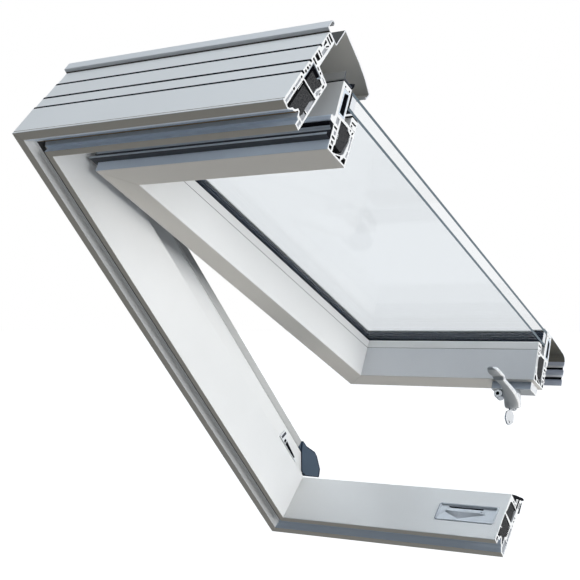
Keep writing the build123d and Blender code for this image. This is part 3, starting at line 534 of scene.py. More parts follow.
# Painted shade on the flat room faces and a painted cool sky light in the groove.
for bar, loop, runs in ((before_tray, sill_outline, 2), (beside_tray, notched_outline, 1),
                        (after_tray, sill_outline, 1)):
    banded(bar, loop, runs, ((6, 0.4, 11.4), (4, 11.4, 30.9), (6, 30.9, 39.6)))
piece("sill_profile", [before_tray, beside_tray, after_tray], profile_finish, "frame", "white_pvc",
      "frame_sill")


# Cell backs: grey sheets that close the outer cells and the strip beside the foam a little
# way in, so that they show light grey at the section: painted shade for their walls.
backing_painted_shade = finish_of("shaded_web", (0.42, 0.43, 0.45), (0.34, 0.35, 0.37), (0.6, 0.7), fine=1500, grain=0.2)
beside_foam = [[(32.9, 27.7), (37.2, 27.7), (37.2, 48.4), (36.7, 48.4), (32.9, 41.2)], [(31.6, 13.4),
    (37.2, 13.4), (37.2, 24.6), (33.4, 24.6), (33.9, 20.6)]]


web_gauge = 1.2


def backs(loops, foot=None, depth=1.5, cut_at=section, place=on_roof):
    """One short bar for each outline, its face a depth behind the section."""
    return bars(loops, straight_way(cut_at - depth - web_gauge, cut_at - depth, foot), place)


head_backs = backs([frame_loops[number] for number in sorted(light_cells)] + beside_foam)
piece("head_cell_backs", head_backs, backing_painted_shade, "frame", "white_pvc", weighted=False)
sill_backs = backs([sill_loops[number] for number in sorted(sill_light)], frame_length)
piece("sill_cell_backs", sill_backs, backing_painted_shade, "frame", "white_pvc", weighted=False)


# Foam cores: grey foam blown into the large chambers, sawn a little short of the
# section. It does not quite fill them, so a dark gap shows beside the walls.
sawn_short = 0.9
foam = bpy.data.materials.new("grey_foam")
tree = empty_tree(foam)
place = add(tree, "TexCoord")["Object"]
bubbles = add(tree, "TexVoronoi", {"Vector": place, "Scale": 900.0})["Distance"]
specks = add(tree, "TexNoise", {"Vector": place, "Scale": 650.0})["Fac"]
speck_share = add(tree, "MapRange", {"Value": specks, "From Min": 0.36, "From Max": 0.60})[0]
foam_tint = {"A": (0.012, 0.012, 0.013, 1), "B": (0.078, 0.078, 0.080, 1), "Factor": speck_share}
surface(tree, {
    "Base Color": add(tree, "Mix", foam_tint, data_type="RGBA")["Result"],
    "Roughness": 0.92,
    "Specular IOR Level": 0.15,
    "Normal": add(tree, "Bump", {"Strength": 0.8, "Distance": 0.0006, "Height": bubbles})[0],
})
room_core = rounded([(12.8, 5.4), (14, 6.2), (15.8, 9.6), (19.2, 11), (21, 13.2), (23, 17.2), (26.8, 17.2),
    (29.8, 14), (31, 15.6), (33.4, 20.6), (32.4, 25), (32.4, 41.2), (36.6, 49.8), (12.8, 43.4)], 0.6)
outer_core = rounded([(12.8, 49.6), (30.2, 52.4), (30, 60.2), (33.2, 68.2), (33.2, 72), (28.4, 72.4),
    (24.6, 68.8), (12.8, 68.8)], 0.5)
sill_room_core = rounded([(15.4, 11.2), (18.2, 11.2), (20, 12.8), (22.4, 17.4), (27.4, 17.4), (33, 15.4),
    (33, 46.6), (12.4, 45), (12.4, 27), (15.4, 23.4)], 0.6)
sill_outer_core = rounded([(11.8, 51.2), (36, 51.2), (33.6, 57), (32.4, 70.2), (30.4, 71.6), (12.8, 71.6),
    (11.8, 60)], 0.5)
for name, cores, way in (
    ("head", (room_core, outer_core), head_way(section - sawn_short)),
    ("jamb", (room_core, outer_core), jamb_way()),
    ("sill", (sill_room_core, sill_outer_core), foot_way(section - sawn_short)),
):
    piece(name + "_core", bars(cores, way), foam, "frame", "grey_foam", name + "_foam", weighted=False)


# Steel lining: an angle of galvanised sheet along two walls of the outer chamber of the
# head and the jamb, pushed in before the corners are welded.
steel = finish_of("galvanised_steel", (0.80, 0.86, 0.92), (0.62, 0.68, 0.74), (0.28, 0.45), metal=0.85,
                  fine=400, broad=120, grain=0.15)
angle = rounded([(7.2, 49), (8.1, 49.2), (8.1, 75.3), (26.2, 75.3), (22.8, 69.4), (23.6, 68.8), (27.2, 75),
    (26.6, 76.2), (7.2, 76.2)], 0.2)
for name, way in (("head", head_way()), ("jamb", jamb_way())):
    piece(name + "_lining", bars([angle], way), steel, "frame", "galvanised_steel", name + "_steel_lining")
# A black sheet a little behind the section fills the gap beside the head's steel: painted shade.
hollow_gap = rounded([(8.4, 49.5), (12.7, 50.2), (12.7, 68.9), (22.2, 69), (25.4, 75.1), (8.4, 75.1)], 0.2)
gap_painted_shade = finish_of("unlit_hollow", (0.006, 0.006, 0.008), (0.003, 0.003, 0.004), (0.7, 0.8),
                      Specular_IOR_Level=0.0)
piece("head_hollow_gap", backs([hollow_gap], depth=1.3), gap_painted_shade, "frame", "grey_foam", weighted=False)


# Hood and flashing: coated aluminium sheet, folded on a press. The hood clips on the
# head's upstand, and the flashing strip has a curled upper lip to shed the rain.
sheet = 1.5
sheared = finish_of("sheared_aluminium", (0.85, 0.86, 0.88), (0.75, 0.76, 0.78), (0.45, 0.6), 0.2, 1800)
pale_coat = finish_of("pale_coated_aluminium", (0.72, 0.73, 0.74), (0.68, 0.69, 0.70), (0.34, 0.46), fine=1400)
# A dark coat used as painted shade on the hood's leg.
shaded_coat = finish_of("hood_leg_painted_shade", (0.085, 0.085, 0.082), (0.065, 0.065, 0.062), (0.5, 0.6),
                        Specular_IOR_Level=0.08, fine=1400)
navy_coat = finish_of("navy_coated_aluminium", (0.040, 0.052, 0.080), (0.028, 0.038, 0.060), (0.35, 0.5),
                      fine=1400)
aluminium = finish_of("coated_aluminium", (0.50, 0.50, 0.49), (0.46, 0.46, 0.45), (0.34, 0.46), fine=1400,
                      grain=0.12, Coat_Weight=0.15, Coat_Roughness=0.3)


def hood_shade(tree, uv, colour):
    """Painted shade on the hood's underside: two smooth ramps, across and along the sheet."""
    apart = add(tree, "SeparateXYZ", {0: uv})
    ramps = [
        add(tree, "MapRange", {"Value": apart[axis], "From Min": low, "From Max": high, "To Min": least},
            interpolation_type="SMOOTHSTEP")[0]
        for axis, low, high, least in (("X", 0.146, 0.212, 0.78), ("Y", 0.235, 0.384, 0.08))
    ]
    share = add(tree, "Math", {0: ramps[0], 1: ramps[1]}, operation="MULTIPLY")[0]
    shaded = {"A": (0.030, 0.026, 0.020, 1), "B": colour, "Factor": share}
    return add(tree, "Mix", shaded, data_type="RGBA")["Result"]


# The underside: a pale finish as painted light, darkened by painted shade.
underside_painted_light_and_shade = finish_of("hood_underside", (0.84, 0.82, 0.77), (0.78, 0.76, 0.71), (0.5, 0.6), shade=hood_shade,
                       Specular_IOR_Level=0.2, fine=1400)


def folded(line, gauge, bend=1.6, steps=6):
    """Closed outline of a folded sheet. The corners of the line become curves, as in
    rounded, and the second side is the line moved by one gauge along its normals, which
    point to the right of the way it runs."""
    line = [tuple(corner) + (bend,) * (3 - len(corner)) for corner in line]
    inner = rounded([line[0][:2] + (0.0,)] + line[1:-1] + [line[-1][:2] + (0.0,)], bend, steps)
    inner = inner[steps : len(inner) - steps]
    step = np.gradient(inner, axis=0)
    loop = np.concatenate([inner, (inner + unit(np.stack([step[:, 1], -step[:, 0]], 1)) * gauge)[::-1]])
    return loop[np.linalg.norm(np.roll(loop, -1, 0) - loop, axis=1) > 1e-6]


hood_line = [(4, upstand + sheet), (20, upstand + sheet, 1.2), (20, 157, 1.8), (65, 157, 60),
    (83.5, 154.8, 50), (103, 149.5, 1.6), (102, 139, 1.2), (99, 139.4)]
hood_outline = folded(hood_line, sheet)
hood_bar = shell([hood_outline], straight_way(0, section))
# The leg's outer face takes the dark coat as painted shade; the underside takes the pale finish with its
# painted light and shade.
painted(hood_bar, hood_outline, lambda u, d: (u < 21.0) & (d > 129.5) & (d < 156.8), 2)
under_half = np.arange(len(hood_outline)) >= len(hood_outline) // 2
painted(hood_bar, hood_outline, lambda u, d: under_half & (u > 21.0), 3)
piece("hood_sheet", [hood_bar], [aluminium, sheared, shaded_coat, underside_painted_light_and_shade], "frame", "coated_aluminium",
      "head_hood")
flashing_line = [(2.6, 128.5), (-1.9, 128.5, 0.5), (-1.9, 141, 1.6), (1.6, 142, 1), (2, 139)]
piece("flashing_strip", bars([folded(flashing_line, -sheet * 0.7)], straight_way(0, section)),
      [pale_coat, sheared], "frame", "coated_aluminium", "head_flashing_strip")
tape = rounded([(15, 127.1), (1.6, 127.1), (1.2, 127.7), (1.6, 128.3), (15, 128.3)], 0.2)
tape_brown = finish_of("brown_tape", (0.085, 0.070, 0.052), (0.060, 0.050, 0.036), (0.5, 0.6), grain=0.2)
rubber = finish_of("black_rubber", (0.008, 0.009, 0.012), (0.004, 0.004, 0.006), (0.45, 0.60), fine=1200,
                   grain=0.25, lines=0.6, Specular_IOR_Level=0.03)
piece("flashing_tape", bars([tape], straight_way(0.5, section - 0.5)), tape_brown, "frame", "black_rubber",
      weighted=False)
cap_plate = rounded([(21.7, 127.3), (21.7, 155.2), (65, 155.2), (83.5, 153), (100.3, 148), (99.7, 142.6),
    (96, 142.6), (95, 127.3)], 1.5)
piece("hood_cap", bars([cap_plate], straight_way(0, 2.5)), [aluminium, sheared], "frame", "coated_aluminium",
      "hood_end_cap")
cover_line = [(4, upstand + sheet), (15.5, upstand + sheet, 1), (15.5, 139)]
piece("jamb_strip", bars([folded(cover_line, sheet)], down_way(103.3, 726.0)), [aluminium, sheared], "frame",
      "coated_aluminium", "jamb_cover")


# Joint seals: black cords that close the joints between the head's cladding strips and,
# past the mitre, those of the jamb. Each fills its joint to just under the face.
def joint_cord(height, face):
    """Outline of one cord."""
    return rounded([(face + 0.15, height + 1.9), (face + 0.15, height - 1.9), (2.6, height - 0.5),
                    (4.5, height - 0.1), (4.5, height + 2.5), (2.6, height + 2.7)], 0.2, 2)


cords = [joint_cord(height, face) for height, face in zip(joint_heights, (1.4, 0.8, 0.2))]
for name, way in (("head", head_way()), ("jamb", jamb_way())):
    piece(name + "_joint_seals", bars(cords, way), rubber, "frame", "black_rubber", weighted=False)


# Corner cap: a slate coloured plastic moulding that closes the jamb's lower end and
# carries the rain past the sill. A thin skirt and a lip over the upstand make its depth.
slate = finish_of("slate_plastic", (0.062, 0.090, 0.128), (0.048, 0.072, 0.106), (0.42, 0.55), fine=1500,
                  grain=0.2, Specular_IOR_Level=0.25)
slate_edge = finish_of("dark_slate_plastic", (0.016, 0.026, 0.050), (0.012, 0.020, 0.040), (0.42, 0.55),
                       fine=1500, grain=0.2, Specular_IOR_Level=0.15)
foot = frame_length
skirt_left, skirt_right = 17.2, 19.0
cap_side = [(foot - 54.3, 140.4, 2), (foot - 38.7, 141.2, 4), (foot - 14, 150.4, 6), (foot - 3.6, 149.9, 6),
    (foot + 18.8, 140.9, 3), (foot + 25.6, 129.3, 2), (foot - 7.1, 105.7, 3), (foot - 21, 103.8, 3),
    (foot - 46.9, 129.2, 2)]
cap_rim = rounded([(c[0] * 0.93 + (foot - 40) * 0.07, c[1] * 0.93 + 108 * 0.07, c[2]) for c in cap_side])
cap_upper = rounded([(foot - 54.2, 127.6), (foot - 54.2, 140.2, 2), (foot - 38.7, 141, 4),
    (foot - 14, 150.2, 6), (foot - 3.6, 149.7, 6), (foot + 18.6, 140.7, 3), (foot + 25.4, 129.3, 2),
    (foot + 23, 127.6)])
cap_tail = rounded([(foot + 0.4, 111.3), (foot + 25.2, 129.2, 2), (foot + 0.4, 130)], 0.8)
cap_skirt = shell([rounded(cap_side)], straight_way(skirt_left, skirt_right))
cap_skirt[3][:] = 2
cap_bars = bars([cap_rim], straight_way(skirt_right, skirt_right + 0.7))
cap_bars += bars([cap_upper, cap_tail], straight_way(1.2, skirt_left))
piece("corner_moulding", [cap_skirt] + cap_bars, [slate, slate, slate_edge], "frame", "slate_plastic",
      "corner_cap")


# Sill seal: a black rubber gasket pressed on the sill's slope, with an outward lip, and
# the aluminium drip strip that hooks on the sill's back under it.
seal_left = 22.5
seal_line = rounded([(35, 81.2), (35.6, 82), (24, 89.4), (12, 96), (2, 101.6), (-3.4, 103.4, 0.8),
    (-4.2, 101.6, 0.6), (-2.6, 99.8, 0.6), (2, 98.4), (7.8, 95), (7.8, 77), (9.9, 74.4), (12, 77),
    (12, 92.4), (18.6, 89), (18.6, 81.4), (30, 81.2)], 0.3)
piece("sill_seal", bars([seal_line], straight_way(seal_left + 3, section, foot)), rubber, "frame",
      "black_rubber", "sill_gasket")
drip_line = [(0.9, 94.5), (-1.5, 94.5, 1), (-4.1, 78)]
piece("drip_strip", bars([folded(drip_line, -sheet)], straight_way(seal_left, section, foot)), navy_coat,
      "frame", "coated_aluminium", "sill_drip_strip")


# Latch tray: a glossy moulding let into the sill's reveal. A wedge shaped keep stands
# before the slot that the latch drops into, and a raised rim hides the cut's edge.
tray_plastic = finish_of("clear_plastic", (0.59, 0.62, 0.66), (0.52, 0.56, 0.61), (0.10, 0.16), fine=700,
                         grain=0.05, Transmission_Weight=0.12, Coat_Weight=0.6, Coat_Roughness=0.04)
tray_slot = finish_of("shaded_slot", (0.075, 0.070, 0.075), (0.050, 0.048, 0.052), (0.3, 0.4), grain=0.05)
tray_shade = finish_of("shaded_plastic", (0.36, 0.39, 0.43), (0.30, 0.33, 0.37), (0.15, 0.25), fine=700,
                       grain=0.05)
rim_wide = 3.0
rim_proud = 1.2
rim_corner = 4.5
keep_left, keep_right = 297.0, 360.0
keep_tip = (319.0, 30.6)
keep_top = 41.5
slot_low, slot_high = 49.8, 51.6
tray_x, tray_d = np.meshgrid(np.linspace(tray_left + 0.2, tray_right - 0.2, 261),
                             np.linspace(tray_low + 0.2, tray_high - 0.2, 121), indexing="ij")


def ramp(value, start, end):
    """Rises smoothly from 0 at start to 1 at end: 3t^2 - 2t^3 of the share t between."""
    t = np.clip((value - start) / (end - start), 0, 1)
    return t * t * (3 - 2 * t)


def inside_rim(x, d):
    """Distance in from a rectangle with round corners of radius r: r less the length of
    the part of (|x| - half width + r, |d| - half height + r) above 0, less its greater
    part where both are below 0."""
    across = np.abs(x - (tray_left + tray_right) / 2) - (tray_right - tray_left) / 2 + rim_corner
    along = np.abs(d - (tray_low + tray_high) / 2) - (tray_high - tray_low) / 2 + rim_corner
    return (rim_corner - np.hypot(np.maximum(across, 0), np.maximum(along, 0))
            - np.minimum(np.maximum(across, along), 0))


def nub(x, d):
    """Small round knob: 1.5 times e to the minus squared distance over 2.4."""
    return 1.5 * np.exp(-((tray_x - x) ** 2 + (tray_d - d) ** 2) / 2.4)


from_edge = inside_rim(tray_x, tray_d)
left_side = (tray_x - keep_left) / (keep_tip[0] - keep_left)
right_side = (keep_right - tray_x) / (keep_right - keep_tip[0])
share = np.clip(np.minimum(left_side, right_side), 0, 1)
keep_edge = keep_top - share * (keep_top - keep_tip[1])
rise = np.clip((tray_d - keep_edge) / np.maximum(keep_top - keep_edge, 0.3), 0, 1) * np.clip(share * 5, 0, 1)
wedge = 3.2 * rise * (1 - ramp(tray_d, keep_top + 0.4, keep_top + 3.0))
slot = 3.0 * ramp(tray_d, slot_low - 0.5, slot_low + 0.3)
slot = slot * (1 - ramp(tray_d, slot_high - 0.2, slot_high + 0.3))
slot = slot * ramp(tray_x, 299, 302) * (1 - ramp(tray_x, 350, 354))
shelf = 1.3 * ramp(tray_x - 0.9 * (tray_d - 41.0), 290, 298) - 1.3
nubs = nub(299.0, 43.5) + nub(352.0, 46.5)
floor_level = -1.9 - 0.8 * ramp(tray_d, 36.0, tray_high) - shelf + wedge - slot + nubs
into_rim = 1 - ramp(from_edge, rim_wide - 1.2, rim_wide + 0.5)
tray_height = (floor_level + (rim_proud - floor_level) * into_rim) * ramp(from_edge, 0.0, 1.1)
reveal_s = foot - sill_reveal(tray_d)


def plate_shell(front, back):
    """Closed plate from two grids with the same edges: the two sides and a band round
    the edge that joins them."""
    rows, columns = front.shape[:2]
    ring = np.concatenate([
        np.arange(columns),
        np.arange(1, rows) * columns + columns - 1,
        (rows - 1) * columns + np.arange(columns - 2, -1, -1),
        np.arange(rows - 2, 0, -1) * columns,
    ])
    face_front, face_back = grid_shell(front), grid_shell(back)
    after = np.roll(ring, -1)
    shift = rows * columns
    band = np.stack([ring, after, after + shift, ring + shift], 1)
    faces = face_front[1] + (np.array(face_back[1]) + shift).tolist() + band.tolist()
    uv = np.concatenate([face_front[2], face_back[2], np.zeros((4 * len(band), 2))])
    return np.concatenate([face_front[0], face_back[0]]), faces, uv, np.zeros(len(faces), int)


def middle_of(grid):
    """Mean of a grid's four corner values on each of its faces, in the faces' order."""
    return ((grid[:-1, :-1] + grid[1:, :-1] + grid[1:, 1:] + grid[:-1, 1:]) / 4).ravel()


tray_bar = plate_shell(on_roof(tray_x, reveal_s - tray_height, tray_d),
                       on_roof(tray_x, reveal_s + tray_deep - 0.3, tray_d))
edge_distance, face_x = middle_of(from_edge), middle_of(tray_x)
front_numbers = tray_bar[3][: len(face_x)]
front_numbers[edge_distance < 0.15] = 1
front_numbers[(edge_distance > 0.15) & (edge_distance < rim_wide - 0.6) & (face_x < tray_left + 5.0)] = 2
front_numbers[middle_of(slot) > 1.0] = 3
piece("tray_moulding", [tray_bar], [tray_plastic, profile_finish[0], tray_shade, tray_slot], "frame",
      "clear_plastic", "latch_tray", smooth=24)


# Lock catch: a zinc plated keep screwed on the jamb's inner edge, with a round hole in
# its plate and a slotted tail below it. Dark inlays in the hole and the slots are painted shade.
zinc = finish_of("zinc_steel", (0.72, 0.72, 0.70), (0.60, 0.60, 0.58), (0.28, 0.42), metal=0.9, fine=500,
                 broad=60, grain=0.15)
pale_zinc = finish_of("painted_zinc", (0.80, 0.81, 0.82), (0.74, 0.75, 0.76), (0.35, 0.5), fine=500)
catch_left, catch_right = 37.0, 39.5
navy_hollow = finish_of("shaded_hollow", (0.040, 0.045, 0.062), (0.020, 0.022, 0.032), (0.4, 0.5))
catch_plate = rounded([(646.6, 83.4), (665.6, 83.4), (665.6, 92.6), (658.8, 99), (650.5, 99)], 1.4)
bolt_mouth = rounded([(649.6, 84.8), (654.2, 84.6), (657.6, 97.4), (652.8, 98)], 1)
tail_mouth = rounded([(659.4, 84.6), (664.9, 84.6), (664.9, 90.4), (660.8, 90.4)], 0.6)
tail_plate = rounded([(665.6, 82.8), (708, 82.8), (705, 87.4), (665.6, 91.4)], 0.8)
tail_slot = rounded([(666.2, 83.6), (699, 83.4), (701, 86.6), (666.2, 90.4)], 0.6)
catch_foot = rounded([(647, 82.8), (665, 82.8), (665, 84.5), (647, 84.5)], 0.3)
catch = []
for loops in ([catch_plate, bolt_mouth, tail_mouth], [tail_plate, tail_slot]):
    catch.append(shell(loops, straight_way(catch_left, catch_right)))
    catch[-1][3][catch[-1][3] > 1] = 0
# Dark inlays just under the plate: painted shade in the hole and the slots.
shade_inlays = bars((bolt_mouth, tail_mouth, tail_slot), straight_way(catch_left + 0.2, catch_right - 0.3))
for bar, number in zip(shade_inlays, (3, 2, 2)):
    bar[3][:] = number
piece("catch_plate", catch + bars([catch_foot], straight_way(19.0, catch_left)) + shade_inlays,
      [pale_zinc, pale_zinc, rubber, navy_hollow], "frame", "zinc_steel", "lock_catch")


# Hinge: a zinc plated bracket on the jamb's shelf, its pin, and the arm on the sash. They
# sit under the hood and keep the shape of the working parts.
for node in ("hinge_bracket", "hinge_pin", "hinge_arm"):
    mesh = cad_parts[node].data
    mesh.materials.clear()
    mesh.materials.append(zinc)


# Sash profiles: white extrusions round the glass, welded at their corners. The upper rail
# and the stile have a rounded lip over their gasket, and the bottom rail shows hooks.
opening = radians(20.04)
sash_x, sash_s, sash_d = 54.2, 88.73, 32.91
sash_length = 682.0
sash_width = section - sash_x
leg_top = 87.0


def on_sash(x, s, d):
    """Places of the flat sash in millimetres, turned by the opening about its corner and
    put on the roof."""
    return on_roof(sash_x + x, sash_s + s * cos(opening) - d * sin(opening),
                   sash_d + s * sin(opening) + d * cos(opening))


rail_way, stile_way = head_way(sash_width), jamb_way(sash_length)
low_way = foot_way(sash_width, sash_length)
sash_inner = [(0, 0, 1), (40, 0, 1.2), (42.85, 47.35, 0.3), (17.5, 47.35, 0.3), (17.5, leg_top, 0.6)]
leg_side = [(-1.4, leg_top, 0.6)]
lipped = [(-1.4, 42, 0.4), (-3, 39.4, 0.6), (-7.4, 39.4, 1.4), (-9, 36.6, 1.6), (-7.6, 32.2, 1.6),
    (-2.4, 31.6, 0.8), (0, 30.2, 0.4)]
bottom_leg = [(-0.8, leg_top, 0.6), (-2.6, 60), (-3.4, 46, 0.6)]
hooked = [(-3.4, 41, 0.4)]
for hook in (31, 21, 11):
    hooked += [(0.2, hook + 6.5, 0.3), (0.2, hook + 3.6, 0.3), (-2.4, hook + 4.4, 0.3),
        (-2.4, hook + 1.4, 0.3), (0.6, hook, 0.3), (0.6, hook - 1.6, 0.3), (0, hook - 2.6, 0.3)]
sash_chamber = [(9.6, 2.4), (12.4, 2.4), (27.4, 8.4), (31.6, 12.6), (35.6, 30), (35.2, 38.6), (29.6, 41),
    (28.4, 43.6), (11.8, 43.6), *reversed(comb(11.8, 20.6, 3, 2.4, 2.2)), (11.8, 13), (9.6, 9.4)]
sash_voids = [[(15.4, 2.2), (26.4, 2.2), (27.2, 6.8)], cell(81.4, 83.8, 3.4, 5.6),
    cell(81.2, 83.4, 12.2, 14.6), cell(34.4, 43, 2.8, 8.6), cell(28.2, 31, 1.8, 8.4),
    cell(21.4, 25.6, 4, 8.2), cell(15.8, 18.8, 1.8, 8.4), cell(9.2, 13.2, 3, 7.6), cell(2.4, 6.8, 1.6, 6.8),
    [(28.6, 2.2), (37.4, 2.2), (37.8, 9.2), (33.4, 9.2)], [(35.4, 11.4), (38.8, 11.4), (39.4, 19.4),
    (37, 19.4)], [(37.2, 21.4), (39.4, 21.4), (40.4, 39.4), (37.8, 39.4)], [(36, 41.4), (38.6, 41.2),
    (40.6, 45.4), (39, 45.6)], cell(42.8, 45.2, 32.4, 34.6)]
# Chambers whose walls are painted shade all round, and those painted light all round.
sash_black = {3, 4, 5, 7, 9, 11, 12, 15, 16}
sash_light = {6, 8, 13, 14}
sash_core = rounded([(12.3, 12.6), (27.4, 11.4), (30.8, 19.6), (35, 30.4), (34.6, 38), (29, 40), (28, 43),
    (12.3, 43)], 0.6)
bead_outline = rounded([(29.6, 47.95), (43.05, 47.95, 0.3), (44, 59, 1.4), (42.4, 60.4, 1),
    (31.4, 60.4, 1.4), (29.6, 58)], 0.5)
bead_joint = rounded([(30, 47.4), (42.8, 47.4), (42.85, 47.9), (30, 47.9)], 0.1, 1)
bead_void = rounded([(32.2, 53.2), (41.8, 53.8), (41.8, 56.2), (32.6, 55.6)], 0.5)
bead_clip = rounded([(31.8, 48.8), (35.4, 48.8), (35.4, 51.4), (31.8, 51.4)], 0.6)
joint_shade = finish_of("joint_shade", (0.10, 0.10, 0.10), (0.07, 0.07, 0.07), (0.6, 0.7),
                        Specular_IOR_Level=0.1)
black_inside = finish_of("dark_hollow", (0.010, 0.014, 0.022), (0.004, 0.006, 0.010), (0.5, 0.6))
steel_cut = finish_of("sawn_steel", (0.80, 0.86, 0.91), (0.66, 0.74, 0.82), (0.4, 0.55), 0.3, 1200)
sash_hollows = hollows([sash_chamber], sash_voids)
for name, way, stops, side, inner, outer in (
    ("top_rail", rail_way, welded_start, leg_side + lipped, 3.2, 15.8),
    ("stile", stile_way, welded_both, leg_side + lipped, 3.2, 15.8),
    ("bottom_rail", low_way, welded_start, bottom_leg + hooked, -0.4, 11.0),
):
    cut, low, runs = name != "stile", name == "bottom_rail", len(stops) - 1
    loops = [rounded(sash_inner + side), rounded(cell(47.2, 80.2, inner - 0.2, outer + 0.2), 1.2)]
    loops += sash_hollows if cut else []
    bar = shell(loops, way, on_sash, stops, cut, -1 if low else 1, sash_black, sash_light)
    # Painted light and shade: a cool sky light on the outer side, a warm bounce light on the room face and, on
    # the bottom rail, shade on the reveal by the glass.
    painted(bar, loops[0], lambda u, d: (u < 0.3) & (d < 40.0), 4, runs)
    painted(bar, loops[0], lambda u, d: (u > 0.8) & (u < 39.2) & (d < 0.3), 7, runs)
    if low:
        painted(bar, loops[0], lambda u, d: (u > 40.2) & (d > 2.0) & (d < 47.0), 9, runs)
    piece(name + "_profile", [bar], profile_finish, "sash", "white_pvc", "sash_" + name)
    # The bore of the steel tube takes the near black hollow finish as painted shade.
    bore = [(inner + 2.0, 49.6), (outer - 1.8, 49.6), (outer - 1.8, 77.8), (inner + 2.8, 75.2)]
    tube = [rounded(cell(47.4, 80.0, inner, outer), 1.2), rounded(bore, 0.6)]
    piece(name + "_tube", [shell(tube, way, on_sash, dark={1})], [steel, steel_cut, black_inside], "sash",
          "galvanised_steel", name + "_steel")
# The hollows are numbered after a rail's outline and the chamber of its steel.
light_hollows = [sash_hollows[number - 2] for number in sorted(sash_light)]
# The sash's pale cells are backed, a little way in, by the same grey of painted shade.
for name, end in (("top_rail", None), ("bottom_rail", sash_length)):
    cell_backs = backs(light_hollows, end, 1.4, sash_width, on_sash)
    piece(name + "_cell_backs", cell_backs, backing_painted_shade, "sash", "white_pvc", weighted=False)
for name, way in (("top_rail", head_way(sash_width - sawn_short)), ("stile", stile_way),
                  ("bottom_rail", foot_way(sash_width - sawn_short, sash_length))):
    piece(name + "_core", bars([sash_core], way, on_sash), foam, "sash", "grey_foam", name + "_foam",
          weighted=False)
for name, way, stops in (("top", rail_way, welded_start), ("side", stile_way, welded_both),
                         ("bottom", low_way, welded_start)):
    bead = shell([bead_outline, bead_void, bead_clip], way, on_sash, stops, name != "side")
    piece(name + "_bead", [bead], profile_finish, "sash", "white_pvc", "bead_" + name)
    piece(name + "_bead_joint", bars([bead_joint], way, on_sash), joint_shade, "sash", "white_pvc",
          weighted=False)


# Glass unit: two panes held apart by a slate grey spacer, with ground and slightly dark
# edges. It lies on a gasket line on the beads and is sealed at its edge.
glass = bpy.data.materials.new("window_glass")
tree = empty_tree(glass)
cloud = add(tree, "TexNoise", {"Vector": add(tree, "TexCoord")["Object"], "Scale": 3.0})["Fac"]
surface(tree, {
    "Base Color": (0.898, 0.917, 0.932, 1),
    "Transmission Weight": 1.0,
    "IOR": 1.14,
    "Specular IOR Level": 0.10,
    "Roughness": add(tree, "MapRange", {"Value": cloud, "To Min": 0.0, "To Max": 0.004})[0],
})
glass_edge = finish_of("glass_edge", (0.130, 0.175, 0.205), (0.060, 0.090, 0.112), (0.12, 0.25), fine=900,
                       grain=0.15, Coat_Weight=0.4)
pane_gauge = 4.0
pane_edge = 20.0
for name, low in (("inner", 62.0), ("outer", 82.0)):
    corners = rounded(cell(low, low + pane_gauge, pane_edge, sash_length - pane_edge), 0.4, 2)
    pane_bar = shell([corners], straight_way(pane_edge, sash_width), on_sash)
    pane_bar[3][:] = 1
    pane_bar[3][: len(corners)][np.linalg.norm(np.roll(corners, -1, 0) - corners, axis=1) > 100] = 0
    pane = piece(name + "_glass", [pane_bar], [glass, glass_edge], "sash", "window_glass", name + "_pane",
                 smooth=5)
    pane.visible_shadow = name == "outer"

spacer_finish = finish_of("dark_spacer", (0.011, 0.019, 0.033), (0.007, 0.013, 0.024), (0.45, 0.55), fine=900,
                          grain=0.08, Specular_IOR_Level=0.2)
spacer_line = [(21.0, 66.2), (31.0, 66.2, 0.8)]
for rib in (69.0, 72.6, 76.2):
    spacer_line += [(31.0, rib, 0.3), (30.2, rib + 0.5, 0.3), (30.2, rib + 1.3, 0.3), (31.0, rib + 1.8, 0.3)]
spacer_line += [(31.0, 81.8, 0.8), (21.0, 81.8)]
bead_seal = rounded([(30, 60.6), (42.6, 60.6), (43.4, 61.3), (42.4, 61.95), (30, 61.95)], 0.3, 2)
edge_seal = rounded([(17.6, 66.5), (19.9, 66.5), (19.9, 84.8), (17.6, 84.8)], 0.4, 2)
for name, outline, finish, slot_name, node in (
    ("spacer_bar", rounded(spacer_line, 0.4, 2), [spacer_finish, sheared], "dark_spacer", "glass_spacer"),
    ("bead_seal", bead_seal, rubber, "black_rubber", "glazing_gasket"),
    ("edge_seal", edge_seal, rubber, "black_rubber", "glass_edge_seal"),
):
    three_runs = [shell([outline], way, on_sash) for way in (rail_way, stile_way, low_way)]
    piece(name, three_runs, finish, "sash", slot_name, node)


# Weather gasket: black rubber pushed in a groove of the rail and the stile, with two
# rounded lips and a flat web between them. The bottom rail has a short one.
# A painted highlight for the light lines on the gasket, and a painted sheen for its slate bands.
gasket_painted_highlight = finish_of("rubber_painted_highlight", (0.55, 0.60, 0.66), (0.46, 0.51, 0.57), (0.4, 0.5))
gasket_painted_sheen = finish_of("rubber_painted_sheen", (0.052, 0.058, 0.066), (0.036, 0.041, 0.048), (0.45, 0.6), lines=0.8)
